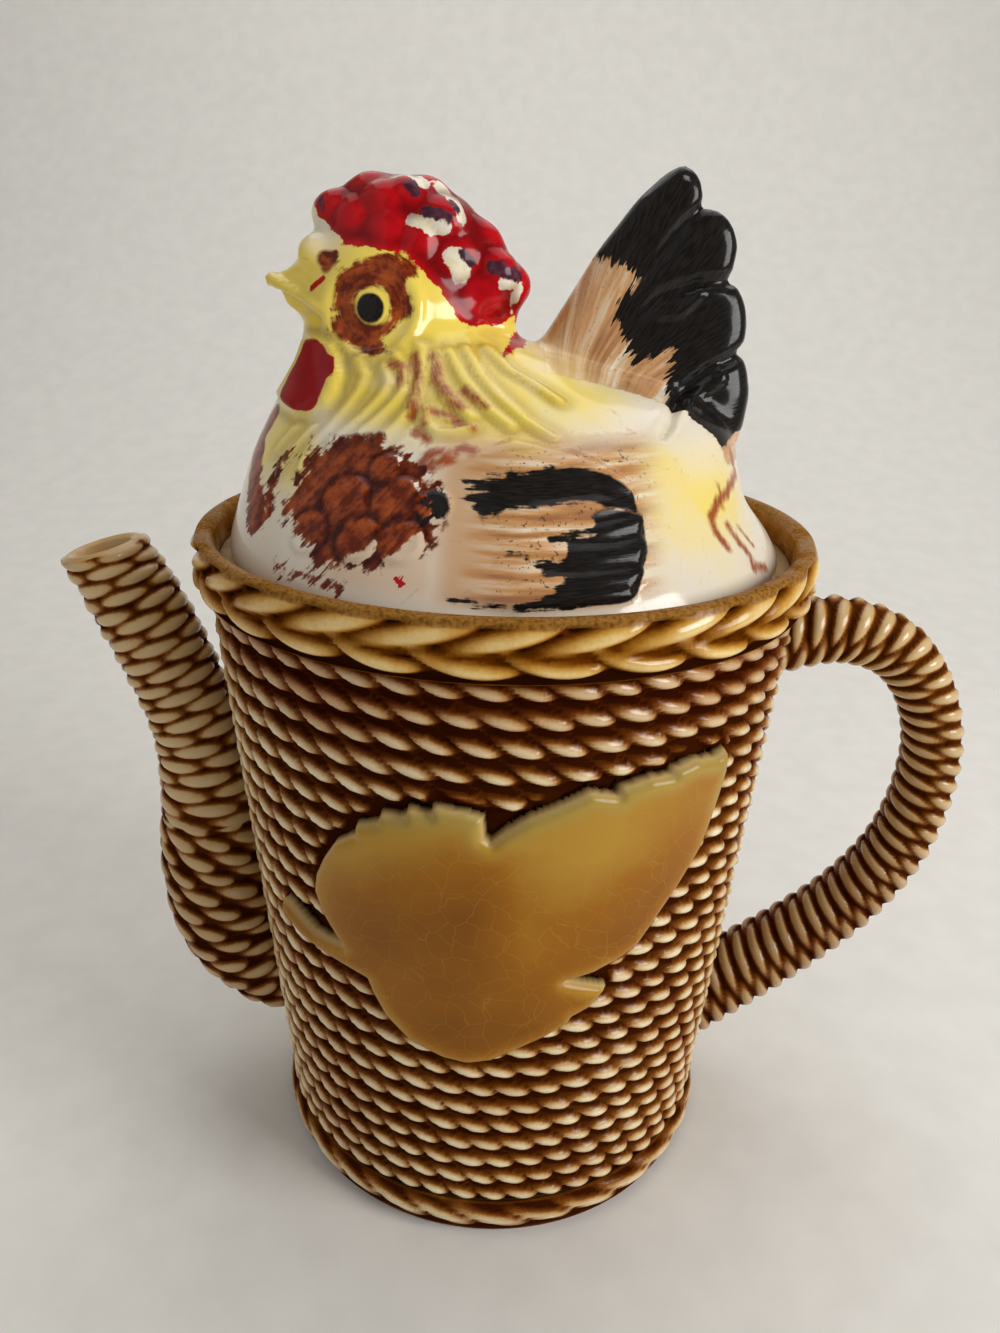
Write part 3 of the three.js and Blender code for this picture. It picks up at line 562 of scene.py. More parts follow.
def tube_points(path, share, turn, radius):
    """Points at a radius round a path; turn 0 is towards the inside of the bend, on the left of travel."""
    run, x, z, tx, tz = path
    at = share * run[-1]
    px, pz = np.interp(at, run, x), np.interp(at, run, z)
    dx, dz = np.interp(at, run, tx), np.interp(at, run, tz)
    size = np.hypot(dx, dz)
    nx, nz = dz / size, -dx / size
    out = radius * np.cos(turn)
    return np.stack([px + nx * out, radius * np.sin(turn), pz + nz * out], axis=1)


def let_in(points):
    """Pushes points that would reach inside the pot back into the middle of its wall."""
    sunk = 3.2
    reach = np.hypot(points[:, 0], points[:, 1])
    points[:, :2] *= np.maximum(1, (wall_radius(points[:, 2]) - sunk) / reach)[:, None]
    return points


SPOUT_LINE = (
    (-50.5, 27), (-58.5, 34), (-65.6, 45), (-68.4, 62), (-68.8, 82), (-70.4, 98), (-75.4, 114.5),
    (-83, 132.5), (-87.3, 141),
)
SPOUT_ROWS = (250, 8, 30)  # of facets outside, over the lip and down the bore
SPOUT_GIRTH = ((0, 0.1, 0.22, 0.36, 0.5, 0.64, 0.8, 1.0), (10.6, 13.0, 14.3, 13.9, 12.0, 10.6, 10.3, 10.4))
# Courses are 5.2 mm apart on the belly and 3.2 mm apart on the neck
SPOUT_SPACING = ((0, 0.3, 0.48, 0.62, 1.0), (5.2, 5.0, 4.0, 3.3, 3.2))
LIP_SLOPE = math.tan(math.radians(14))


def spout_pipe(u, v):
    """The spout: courses of rope outside, a lip that slopes towards the pot, and a bore."""
    path = path_frame(SPOUT_LINE)
    length = path[0][-1]
    outer_rows, lip_rows, bore_rows = SPOUT_ROWS
    row = np.rint(v * sum(SPOUT_ROWS))
    outer = row <= outer_rows
    bore = row >= outer_rows + lip_rows
    share = np.where(outer, row / outer_rows, 1.0)
    share = np.where(bore, 1 - (row - outer_rows - lip_rows) / bore_rows, share)
    turn = TURN * u
    girth = read(*SPOUT_GIRTH, share)
    at = np.linspace(0, 1, PATH_SAMPLES)
    spacing = read(*SPOUT_SPACING, at)
    rate = 0.5 * (1 / spacing[1:] + 1 / spacing[:-1])
    tally = np.concatenate([[0], np.cumsum(rate) * length / (PATH_SAMPLES - 1)])
    course = np.interp(share, at, tally)
    gap = np.interp(share, at, spacing)
    full = np.where(share < 0.46, 9.0, 5.0)
    pitch = TURN * girth / full
    belly = smoothstep(0.52, 0.4, share)

    def place(k):
        return around(turn / TURN * full + 0.5 * k + 0.1 * chance(k, 2), full), full, pitch

    height, crest = weave(
        course, gap, place, half_long=(0.52 + 0.1 * belly) * pitch, half_wide=(0.51 - 0.11 * belly) * gap,
        lean=0.04 + 0.36 * belly, bow=0.2 + 0.5 * belly, skew=0.3 * belly)
    lip = np.clip((row - outer_rows) / lip_rows, 0, 1)
    radius = np.where(outer, girth - 1.0 + 1.0 * height, 9.6 - 3.2 * lip)
    points = tube_points(path, share, turn, radius)
    tip_x, tip_z = SPOUT_LINE[-1]
    sloped = tip_z + LIP_SLOPE * (points[:, 0] - tip_x) - 0.9 * (1 - share) * length
    blend = smoothstep(0.86, 1.0, share)
    swell = np.where(outer | bore, 0, 0.8 * np.sin(np.pi * lip))
    points[:, 2] += blend * (sloped - points[:, 2]) + swell
    wash = 0.12 * smoothstep(0.55, 0.3, share)
    # Painted light: the crests are painted paler towards the neck
    pale = np.clip(crest + 0.1 * smoothstep(0.4, 0.55, share), -1, 1)
    return let_in(points), {"crest": np.where(outer, pale, 0.7), "wash": wash}


HANDLE_LINE = (
    (55, 122.5), (62, 124.6), (77.2, 126.5), (88, 122.5), (95.5, 114), (100.4, 101), (100.8, 88),
    (97, 71), (89, 57.5), (76, 44), (62, 32.5), (49, 23),
)
HANDLE_GIRTH = ((0, 0.12, 0.3, 0.5, 0.75, 1.0), (8.6, 7.8, 7.1, 7.5, 8.6, 10.3))


def handle_rope(u, v):
    """The handle: an ear of twisted rope."""
    path = path_frame(HANDLE_LINE)
    girth = read(*HANDLE_GIRTH, v)
    # Courses wind round the handle and meet at a seam inside the bend; each holds two long strands
    courses, wind, full = 74, 6, 2
    relief = 1.2
    pitch = TURN * girth / full

    def place(k):
        return full * (u - 0.125) + 0.5 * k, 1, pitch

    height, crest = weave(
        courses * v + wind * u, path[0][-1] / courses, place, vary=0,
        half_long=0.36 * pitch, half_wide=1.75, lean=0.0, bow=0.0, skew=0.15)
    wash = 0.4 * smoothstep(0.35, 0.75, v)
    points = tube_points(path, v, TURN * u, girth - relief + relief * height)
    return let_in(points), {"crest": crest, "wash": wash}


# Leaf: its edge as (degrees round the wall from the front, height)
LEAF_EDGE = (
    (43, 119), (40, 118.5), (35, 119.5), (30.5, 118.9), (30, 117.9), (26, 118.2), (20.6, 117.2),
    (20, 115.8), (15, 117.2), (10, 114.8), (5, 112.6), (1, 109.6), (-1, 107.5), (-2.2, 108.4),
    (-2.5, 112.5), (-5, 113.3), (-10.6, 114), (-11, 112.4), (-15, 112.8), (-15.5, 111.2), (-20, 110.7),
    (-20.6, 108.8), (-25, 107), (-25.4, 104.8), (-30, 101.4), (-33, 97), (-35.6, 92), (-36.5, 88),
    (-35, 83), (-32, 78.6), (-30.6, 76.8), (-38, 76.4), (-45.5, 79.4), (-48.2, 79.2), (-48.4, 76.6),
    (-42, 73.4), (-30, 71.4), (-25.6, 70.4), (-24.5, 67), (-22, 62), (-17, 57), (-10, 54), (-5, 53.2),
    (0, 54.4), (5, 57.6), (10, 60.2), (15, 63.5), (15.6, 65), (19, 66.6), (22.4, 71), (18, 72.8),
    (13.4, 74.6), (19, 75.6), (25, 78), (28.4, 80.4), (32, 86), (36, 92), (40, 99), (42, 107),
    (43.5, 115),
)
LEAF_ARC = (-51.0, 46.5)
LEAF_SPAN = (51.0, 122.0)
LEAF_ROUND = 57.8
LEAF_SKIRT = 0.9  # kept outside the edge, down in the wall


def leaf_depth(angle, z):
    """Depth in mm inside the leaf's edge on the unrolled wall."""
    edge = np.asarray(LEAF_EDGE, float)
    edge[:, 0] = np.radians(edge[:, 0]) * LEAF_ROUND
    return depth_inside(np.stack([angle * LEAF_ROUND, z], axis=1), edge)


def leaf_sheet(u, v):
    """The leaf: a sheet that stands off the wall inside its edge and dips into the wall outside it."""
    angle = np.radians(LEAF_ARC[0] + (LEAF_ARC[1] - LEAF_ARC[0]) * u)
    z = LEAF_SPAN[0] + (LEAF_SPAN[1] - LEAF_SPAN[0]) * v
    depth = leaf_depth(angle, z)
    run = angle * LEAF_ROUND
    crown = np.sqrt(np.clip(1 - (1 - np.clip(depth / 2.2, 0, 1)) ** 2, 0, 1))
    wave = 0.25 * np.sin(run / 9.0) * np.cos(z / 11.0)
    stand = np.where(depth > 0, 0.1 + 1.9 * crown + wave * crown, 0.1 + 2.4 * depth)
    # The glaze is thickest low down and away from the edge; the dark streak under the notch is a painted
    # shadow
    low = np.clip((90 - z) / 70 + 0.3, 0, 1) + 0.25 * smoothstep(1, 12, depth) * smoothstep(8, -14, run)
    low = low + 0.3 * np.exp(-(np.hypot(run + 2, (z - 98) * 0.45) / 7) ** 2) + 0.4 * smoothstep(4, 34, run)
    low = np.clip(low, 0, 1) * (0.35 + 0.65 * smoothstep(0.5, 5, depth))
    green = 0.42 * smoothstep(4.5, 0.6, depth) * smoothstep(0, 0.6, depth) * smoothstep(104, 112, z)
    points = on_wall(angle, wall_radius(z) + stand, z)
    return points, {"edge": depth, "low": low, "green": green}


# Hen lid: places are (x, z) in its side view; both flanks take the same feathers and paint

HEN_HEIGHT = 67.5
HEN_WALL = 4.6
HOLLOW_RADIUS = 47.0
HEN_LEVELS = (0, 5, 12, 20, 28, 34, 39, 43, 49, 55, 61, 65, 67.5)
HEN_BREAST = (-57.8, -56.8, -54.6, -51.8, -47.8, -44.5, -42.2, -41, -40.6, -40, -37.5, -33.5, -27)
HEN_BACK = (57.8, 55, 49.5, 47, 44, 34, 14, -1, -5, -7, -10.5, -15, -21)
HEN_HALF = (57.8, 55.5, 50, 43, 35, 27.5, 20.5, 16.8, 14.8, 12.6, 9.2, 5.8, 2)
TAIL_THICK = ((160, 172, 180, 188, 200, 214), (12, 10, 8.2, 6.2, 4.8, 3.8))
BARE = -9.0  # depth in mm for places far outside a paint
# The last of these is a painted reflection on the comb's beads
ENAMELS = ("black", "brown", "red", "chip", "bead_sheen")
# Wattles, wings and shoulders lie further out from the middle plane than these
WATTLE_OUT = 4
WING_OUT = 22
SHOULDER_OUT = 18

# Balls as (x, out to the side, z, radius): the comb's core, the beak and the nostrils
COMB_CORE = (
    (-35.2, 0, 208.6, 3.8), (-30, 0, 207.4, 6.6), (-22, 0, 207.6, 8.3), (-14, 0, 204.8, 8.3),
    (-9, 0, 200.8, 7.0), (-4.2, 0, 196.4, 6.9), (-2.6, 0, 189.8, 3.8),
)
BEAK_CORE = (
    (-47.4, 0, 196.3, 1.6), (-45.4, 0, 195.7, 2.4), (-43.2, 0, 195.1, 3.3), (-40.6, 0, 194.8, 4.6),
    (-37.5, 0, 196, 6.2),
)
NOSTRILS = ((-37.2, 4.6, 201.4, 3.9),)
# Beads on the comb, set on the nearest skin
COMB_BEADS = (
    (-34.9, 4.7, 210.1, 3.0), (-30.2, 7.0, 208.0, 3.2), (-24.6, 7.2, 211.4, 3.8),
    (-23.2, 8.2, 206.4, 3.4), (-19.2, 5.6, 213.4, 3.3), (-12.6, 7.6, 209.0, 3.8),
    (-17.2, 8.8, 204.6, 3.2), (-9.4, 8.9, 201.2, 3.6), (-1.4, 5.6, 200.2, 3.6), (-5.3, 6.8, 194.3, 3.9),
    (-15.0, 1.0, 214.6, 3.4), (-28.0, 1.0, 214.8, 3.4), (-4.0, 1.5, 206.0, 3.4), (1.8, 1.4, 196.4, 3.4),
)

TAIL_HEART = (26.0, 180.6)
TAIL_EDGE = (
    (2, 172), (3.6, 182.4), (9.7, 192.2), (16.3, 203.2), (23.8, 213), (29, 217.6), (32.4, 218.6),
    (34.9, 216.7), (35.9, 213.6), (36.4, 211.3), (39.6, 210.8), (42.2, 208.2), (43.5, 204.6), (43, 201.4),
    (42.3, 198.4), (44.8, 196.6), (46.4, 192.8), (46.8, 188.6), (46, 185.2), (47.6, 182), (48.4, 177.4),
    (47.8, 171), (46, 166), (42, 161), (34, 158), (20, 162), (8, 166),
)
TAIL_GROOVES = (
    ((36.2, 211.6), (31.2, 207.1), (26.1, 200.9), (20.9, 194.1)),
    ((42.4, 198.4), (35.8, 198.0), (28.4, 195.6), (24, 191)),
    ((46.2, 185.4), (38.9, 182.5), (32.9, 178), (28.3, 173)),
)
TAIL_CURLS = (
    ((28.7, 192.2), (32.5, 192.5), (34.7, 194.8), (36, 196.2)),
    ((32.1, 175.6), (37.8, 178.1), (41.5, 180.6), (40.8, 182.5)),
    ((18.4, 202.9), (25.2, 211.6), (31.2, 216.7)),
)

HACKLES = (
    ((-27.8, 183.2), (-26.4, 181), (-27.1, 178.8), (-29.2, 175.9), (-31.6, 173.4), (-35, 170)),
    ((-22.7, 182.6), (-21.8, 180.1), (-23.2, 177.7), (-25.7, 175.2), (-28.3, 173.1), (-31.5, 170.6)),
    ((-20.6, 184), (-19, 181.2), (-19.1, 178.9), (-21.2, 176.5), (-24.1, 174), (-27.6, 171.4)),
    ((-16.4, 186.2), (-15.8, 182.1), (-16.6, 179), (-17.5, 176.3), (-19.9, 173.8), (-22.9, 171.6)),
    ((-13.6, 185.2), (-13, 181.4), (-10.9, 178.8), (-8.6, 177.1), (-6.6, 175.8)),
    ((-11.2, 185.6), (-8.4, 181.5), (-5.8, 179), (-3.2, 176.8), (0.4, 174.6)),
    ((-8.2, 186), (-5.3, 181.9), (-1.6, 178.7), (2.9, 175.5), (7.8, 173)),
    ((-4.4, 186), (0.1, 182.6), (3.8, 181), (9, 178.2)),
    ((-39.4, 171.5), (-43.1, 167.3)),
    ((-35.8, 171.9), (-40, 167.2), (-41.9, 164.5)),
    ((-32.2, 172.5), (-36.3, 168.2), (-37.4, 165.4)),
    ((-14.8, 176.8), (-14.4, 174.6), (-12.3, 173.3), (-9.2, 173.4), (-6.6, 174.2)),
)

# Shoulder scales as (x, z, radius, how far the brown draws back on it)
SCALES = (
    (-28.0, 162.4, 5.0, 0.0), (-18.8, 163.4, 4.7, 1.2), (-25.0, 157.0, 4.4, 2.6),
    (-17.4, 157.4, 4.3, 2.6), (-20.9, 167.7, 3.2, 1.0), (-12.3, 162.8, 3.4, 2.0),
    (-34.6, 156.6, 4.4, 1.6), (-12.3, 169.6, 2.7, 1.0),
)
BLACK_TIP = SCALES[5]  # the scale whose tip is black

WING_EDGE = (
    (-11.5, 150), (-12.4, 158), (-12, 166), (-8, 170.6), (0.7, 172.6), (9.6, 171.2), (15.4, 169.6),
    (20.4, 166.8), (22.6, 164.2), (23.2, 162.2), (23.9, 160.4), (23.6, 158.6), (24.3, 156.4),
    (23.5, 154.1), (23.9, 152.8), (22, 150.8), (21.4, 149.6), (13.7, 149.2), (2, 148.6),
)
WING_GROOVES = (
    ((-6.1, 163.2), (4.2, 163.9), (15.7, 164.6), (22.4, 163.2)),
    ((4.3, 158.7), (13.7, 160.4), (18.6, 161.1), (23.2, 161.7)),
    ((7.1, 158.0), (18.1, 157.7), (23.8, 158.5)),
    ((5.8, 154.5), (10.9, 153.9), (23.6, 154.0)),
    ((1.3, 150.8), (13.7, 151.2), (22, 151.3)),
)

EYE = (-25.9, 192.5)
WATTLE_LOBE = (
    (-39.3, 186.6), (-35.3, 186.9), (-32.4, 185.6), (-30.9, 183.4), (-30.7, 180.6), (-31.3, 177.8),
    (-32.9, 175.6), (-36, 174), (-39.8, 173.4), (-43.6, 174.2), (-45.2, 175.5), (-43, 178.9),
    (-41, 182.3),
)
WATTLE_RED = (
    (-38.8, 186.5), (-36.6, 186.8), (-34.6, 185.6), (-33.8, 184.4), (-32.5, 184), (-32.2, 182.2),
    (-32.5, 180.9), (-33.7, 180.7), (-34.1, 179.1), (-35.1, 176.2), (-36.1, 175), (-37.8, 174.5),
    (-41.2, 174.6), (-43.5, 175.4), (-44, 176.5), (-42.6, 179), (-40.8, 182.3), (-39.7, 184.5),
)
MANDIBLE = ((-46.4, 196.4), (-41.6, 194.9), (-38.2, 193.4), (-35.5, 191.9))


def hen_section(z):
    """Breast, back and half width of the hen at a height."""
    level = np.asarray(z, float) - LID_SEAT
    return (read(HEN_LEVELS, row, level) for row in (HEN_BREAST, HEN_BACK, HEN_HALF))


def flank(x, z):
    """How far the hen's flank stands out from its middle plane at a place in the side view."""
    breast, back, half = hen_section(z)
    along = (x - (breast + back) / 2) / ((back - breast) / 2)
    return half * np.sqrt(np.clip(1 - along ** 2, 0, 1))


def on_flank(line):
    """Side-view places lifted on to the hen's flank."""
    x, z = np.asarray(line, float).T
    return np.stack([x, flank(x, z), z], axis=1)


def line_gap(points, line):
    """Distance from points to a line of straight runs."""
    line = np.asarray(line, float)
    gap = np.full(len(points), np.inf)
    for start, end in zip(line[:-1], line[1:]):
        run = end - start
        share = np.clip((points - start) @ run / (run @ run), 0, 1)
        gap = np.minimum(gap, np.linalg.norm(points - start - share[:, None] * run, axis=1))
    return gap


def depth_inside(points, edge):
    """Depth of flat points inside a closed edge; below 0 outside it."""
    ring = np.vstack([edge, edge[:1]]).astype(float)
    x, z = points.T
    inside = np.zeros(len(points), bool)
    for (ax, az), (bx, bz) in zip(ring[:-1], ring[1:]):
        if az != bz:
            inside ^= ((az > z) != (bz > z)) & (x < ax + (z - az) * (bx - ax) / (bz - az))
    gap = line_gap(points, ring)
    return np.where(inside, gap, -gap)


def fold(points):
    """The left flank's points laid on the right flank, and all points in the side view."""
    side = points * (1, 0, 1)
    side[:, 1] = np.abs(points[:, 1])
    return side, side[:, (0, 2)]


def hen_form(u, v):
    """The hen's body, neck and head as stacked ovals on a closed base."""
    base_share, crown_share = 0.06, 0.99
    turn = TURN * u
    level = np.clip((v - base_share) / (crown_share - base_share), 0, 1)
    z = LID_SEAT + HEN_HEIGHT * level
    breast, back, half = hen_section(z)
    spread = np.minimum(np.clip(v / base_share, 0, 1), np.clip((1 - v) / (1 - crown_share), 0, 1))
    x = (breast + back) / 2 + spread * ((back - breast) / 2) * np.cos(turn)
    return np.stack([x, spread * half * np.sin(turn), z], axis=1), {}


def hen_hollow(u, v):
    """The inside of the lid: the body drawn in by the wall, no wider than the flange."""
    base_share, side_share, crown_share = 0.05, 0.85, 0.1
    turn = TURN * u
    level = 0.7 * np.clip((v - base_share) / side_share, 0, 1)
    breast, back, half = hen_section(LID_SEAT + HEN_HEIGHT * level)
    spread = np.minimum(np.clip(v / base_share, 0, 1), np.sqrt(np.clip((1 - v) / crown_share, 0, 1)))
    x = (breast + back) / 2 + spread * ((back - breast) / 2 - HEN_WALL) * np.cos(turn)
    y = spread * (half - HEN_WALL) * np.sin(turn)
    shrink = np.minimum(1, HOLLOW_RADIUS / np.maximum(np.hypot(x, y), 1e-6))
    z = LID_SEAT + HEN_HEIGHT * level - 2 * smoothstep(0.06, 0.0, level)
    return np.stack([x * shrink, y * shrink, z], axis=1), {}


def tail_form(u, v):
    """The tail as a cushion inside its edge, thick at the root and thin at the tips."""
    ring = np.vstack([TAIL_EDGE, TAIL_EDGE[:1]]).astype(float)
    run = np.concatenate([[0], np.cumsum(np.linalg.norm(np.diff(ring, axis=0), axis=1))])
    x, z = (np.interp(u * run[-1], run, ring[:, i]) for i in (0, 1))
    reach = np.sin(np.pi * v) ** 0.55
    side = np.sign(np.cos(np.pi * v)) * np.abs(np.cos(np.pi * v)) ** 0.6
    px = TAIL_HEART[0] + (x - TAIL_HEART[0]) * reach
    pz = TAIL_HEART[1] + (z - TAIL_HEART[1]) * reach
    return np.stack([px, read(*TAIL_THICK, pz) * side, pz], axis=1), {}


def balls(chain, pair=False):
    """Balls strung closely along a chain, or set on both sides where pair is set."""
    rows = np.asarray(chain, float)
    if pair:
        rows = np.vstack([rows, rows * (1, -1, 1, 1)])
    else:
        at = np.linspace(0, len(rows) - 1, 5 * (len(rows) - 1) + 1)
        rows = np.stack([np.interp(at, np.arange(len(rows)), column) for column in rows.T], axis=1)
    made = []
    for x, y, z, radius in rows:
        bpy.ops.mesh.primitive_uv_sphere_add(
            segments=24, ring_count=14, radius=radius * MM, location=(x * MM, y * MM, z * MM))
        made.append(bpy.context.object)
    return made


def fuse(pieces):
    """Joins closed pieces into one object."""
    bpy.ops.object.select_all(action="DESELECT")
    for piece in pieces:
        piece.select_set(True)
    bpy.context.view_layer.objects.active = pieces[0]
    bpy.ops.object.join()
    bpy.ops.object.transform_apply(location=True, rotation=True, scale=True)
    return bpy.context.object


def reskin(piece, voxel, passes):
    """Remeshes a piece into one skin and softens its meeting lines."""
    skin = piece.modifiers.new("skin", "REMESH")
    skin.mode = "VOXEL"
    skin.voxel_size = voxel
    soft = piece.modifiers.new("soften", "SMOOTH")
    soft.iterations = passes
    for name in ("skin", "soften"):
        bpy.ops.object.modifier_apply(modifier=name)


def ridge(gap, half_wide):
    """A rounded ridge from 1 on its line to 0 at its half width."""
    return np.cos(np.clip(gap / half_wide, 0, 1) * math.pi / 2) ** 2


def on_scale(side, scale):
    """Distance from the middle of a shoulder scale, and how near its lower edge a place is, from 0 to 1."""
    x, z, radius, _ = scale
    gap = np.linalg.norm(side - on_flank([(x, z)])[0], axis=1)
    return gap, smoothstep(-0.5, 0.6, ((side[:, 0] - x) - 0.6 * (side[:, 2] - z)) / radius)


def carve_hen(points):
    """Feather relief in mm, and how far each place is down in a groove, from 0 to 1."""
    side, flat = fold(points)
    x, z = flat.T
    height = np.zeros(len(points))
    dip = np.zeros(len(points))
    # Hackle ridges down the neck, with hollows between
    neck = np.max([ridge(line_gap(side, on_flank(line)), 2.0) for line in HACKLES], axis=0)
    skirt = np.max([ridge(line_gap(side, on_flank(line)), 4.2) for line in HACKLES], axis=0)
    height += 1.0 * neck - 0.4 * skirt
    dip = np.maximum(dip, skirt * (1 - neck))
    # Overlapping scales on the shoulder: each rises to its lower edge
    for scale in SCALES:
        radius = scale[2]
        gap, edge = on_scale(side, scale)
        lip = 0.35 + 0.55 * edge * np.clip(gap / radius, 0, 1) ** 3
        rise = smoothstep(radius, radius - 1.0, gap) * lip
        height = np.where(gap < radius, np.maximum(height, rise), height)
        web = np.clip(1 - np.abs(gap - radius - 0.3) / 1.1, 0, 1)
        dip = np.maximum(dip * (gap >= radius - 0.5), web)
    # Wing
    depth = np.where(side[:, 1] > WING_OUT, depth_inside(flat, WING_EDGE), BARE)
    height += 1.5 * smoothstep(-1.0, 1.4, depth) * smoothstep(-12, 4, x)
    for line in WING_GROOVES:
        gap = line_gap(flat, line)
        cut = np.exp(-(gap / 1.1) ** 2) * smoothstep(-2, 9, x) * (depth > -0.5)
        height -= 0.45 * cut
        dip = np.maximum(dip, cut)
    # Tail
    tail = smoothstep(8.0, 14.0, x) * smoothstep(166, 174, z)
    for line in TAIL_GROOVES:
        gap = line_gap(flat, line)
        fade = smoothstep(18, 34, x)
        height -= tail * fade * 1.3 * np.exp(-(gap / 1.1) ** 2)
        dip = np.maximum(dip, tail * np.exp(-(gap / 1.0) ** 2))
    for line in TAIL_CURLS:
        height += 0.8 * tail * ridge(line_gap(flat, line), 1.8)
    # Head
    head = smoothstep(182, 184.5, z) * smoothstep(-2, -8, x)
    gap = np.hypot(x - EYE[0], z - EYE[1])
    lower = smoothstep(199, 193, z)
    brow = (0.2 + 0.75 * lower) * np.exp(-((gap - 8.8) / 1.3) ** 2)
    height += head * (brow - 0.45 * smoothstep(8.4, 6, gap))
    height += head * 0.7 * smoothstep(3.2, 1.4, gap)
    jaw = ridge(line_gap(flat, MANDIBLE), 1.6) - 0.7 * ridge(line_gap(flat + (0.6, 2.2), MANDIBLE), 1.6)
    height += 2.0 * jaw * smoothstep(-34, -37, x)
    lobe = np.where(side[:, 1] > WATTLE_OUT, depth_inside(flat, WATTLE_LOBE), BARE)
    height += 1.7 * smoothstep(-0.6, 1.2, lobe)
    dip = np.maximum(dip, 0.8 * np.exp(-((lobe + 1.2) / 0.8) ** 2))
    # Comb beads
    swell = np.zeros(len(points))
    for bead in COMB_BEADS:
        seat = side[np.argmin(np.linalg.norm(side - bead[:3], axis=1))]
        gap = np.linalg.norm(side - seat, axis=1) / bead[3]
        swell = np.maximum(swell, 1.4 * np.clip(1 - (gap / 1.6) ** 2, 0, 1) ** 2)
    # Painted shade: the comb's red is darkened between its beads; the whole wattle is darkened a little too
    crown = smoothstep(0, 2, depth_inside(flat, COMB_RED)) * (z > 186) * (x < 6)
    low = np.maximum(0.7 * crown * smoothstep(1.0, 0.1, swell), 0.4 * smoothstep(0, 1, lobe))
    dip = np.maximum(dip, low)
    return height + swell, dip


# Paint: edges of the brushed enamels
TAIL_BLACK = (
    (12, 205), (15.8, 202.4), (19.4, 201.2), (24.4, 198.6), (20.9, 194.1), (20.4, 190.9), (24.1, 183.2),
    (31.7, 186.1), (31.2, 183.4), (30, 177.5), (29.3, 173.6), (27.9, 166.8), (35.9, 167.5), (45.1, 170.5),
    (56, 173), (56, 228), (10, 228),
)
WING_BLACKS = (
    (
        (-7.3, 166.6), (-3.7, 167.4), (2, 168.4), (7.3, 169.2), (10.2, 169.2), (14.1, 168.8),
        (17.6, 167.8), (20.1, 166.4), (21.9, 164.8), (22.6, 162.5), (22.6, 161.7), (20.8, 162.5),
        (17.5, 163.2), (15.3, 163.8), (11.7, 163.9), (7.8, 163.7), (3.5, 163.4), (-0.7, 163.1),
        (-1.8, 162), (-3.2, 161.2), (-6.8, 161.2), (-3.2, 161.7), (-1.9, 162.4), (-4, 162.3),
        (-5.4, 162.5), (-5.8, 163.3), (-5.3, 163.9), (-6.9, 164), (-8.1, 164.3), (-5.3, 165.1),
        (-3.2, 165.6), (-7.1, 165.6), (-5.1, 166.2), (-1.8, 167.1), (-6.5, 166.3),
    ),
    (
        (14.3, 162), (15.3, 162.6), (17.5, 162.9), (20.8, 162.2), (23.6, 161.5), (24.4, 156), (23.4, 153),
        (22.6, 150.4), (20.5, 149.4), (17.4, 149.2), (12.6, 149.2), (6.1, 149), (1.4, 148.7),
        (1.1, 149.5), (-1.4, 149.6), (-5.1, 149), (-1.9, 149.7), (1.5, 150.3), (5.7, 150.9), (8.7, 151.6),
        (7.9, 152.4), (9.3, 153.1), (10.3, 153.8), (5.6, 154.1), (6.5, 154.7), (4.6, 155.5), (3.5, 156),
        (3, 156.7), (0.2, 156.7), (-0.3, 157.1), (1.8, 157.5), (3.7, 157.2), (4.2, 156), (6.3, 155.6),
        (9.3, 155.9), (10.3, 156.8), (10, 158.1), (11.4, 158.8), (15.1, 159.4), (7.4, 158.6),
        (7.2, 159.3), (10.2, 160), (12.6, 160.1), (14.6, 160.4), (15.1, 161.2),
    ),
)
# Brush lines as (half width, line); one black line is painted shade
BLACK_LINES = (
    (0.55, ((1.2, 160.7), (3.1, 160.1))),
    (0.6, ((3.1, 159.5), (5, 159.3), (4.1, 158.8))),
    (0.4, ((9.3, 161.4), (10.7, 161.1))),
    (0.4, ((12.6, 161.7), (12.9, 161.6))),
    (0.35, ((7.9, 160.3), (9.3, 160.5))),
    (0.35, ((-1.3, 161), (-0.6, 161.2))),
    (0.4, ((-8.8, 150.1), (-4.2, 150.1))),
    (0.35, ((-3.5, 150.4), (-1.2, 150.4))),
    # Painted shade just above the wing's lowest groove
    (0.5, ((1.5, 152.2), (3.3, 151.9))),
    (0.35, ((0.4, 159.1), (1.3, 159.4))),
    (0.4, ((15.9, 170.1), (16.9, 169.7))),
)
SHOULDER_BROWN = (
    (-37.7, 163.8), (-35.6, 168.8), (-29.1, 171.6), (-24.3, 171.4), (-18.7, 171), (-13.6, 167.4),
    (-10.3, 164.4), (-10.0, 160), (-14.6, 155.6), (-20.9, 153.8), (-28.4, 152.4), (-34.9, 153.4),
    (-38.8, 158.3),
)
COMB_RED = (
    (-39, 212.4), (-36.6, 208.2), (-34, 205.6), (-31.1, 203.2), (-28.4, 203), (-24.1, 202.3),
    (-19.6, 202.1), (-16.6, 199), (-13.3, 195.6), (-10.3, 191.7), (-7.7, 188.9), (-4.9, 189.7),
    (-1.8, 189.3), (0.6, 191.2), (1.2, 188.6), (-1.6, 184.6), (3, 186), (7, 196), (7, 222), (-40, 222),
)
EYE_BROWN = (
    (-32.5, 197.6), (-31.4, 198.9), (-28.8, 200.3), (-25.3, 201.7), (-21.8, 201.8), (-18.9, 200.8),
    (-17.2, 199.2), (-17.8, 197.9), (-19.5, 197.6), (-18.8, 195.3), (-18.7, 192), (-20.4, 189.7),
    (-22.5, 188), (-23.5, 187.4), (-22.7, 185.4), (-24.8, 184.4), (-27.1, 184.9), (-29.4, 185.8),
    (-31.7, 187), (-33.3, 188.2), (-33.3, 190.2), (-31.7, 191.3), (-33.7, 192.2), (-32.9, 194.9),
)
EYE_BARE = (
    (-28.9, 193.4), (-28.2, 195.4), (-25.8, 196.3), (-23.3, 195.7), (-22, 193.6), (-22.4, 191.3),
    (-24.2, 189.6), (-26.9, 189.8), (-28.5, 191.5),
)
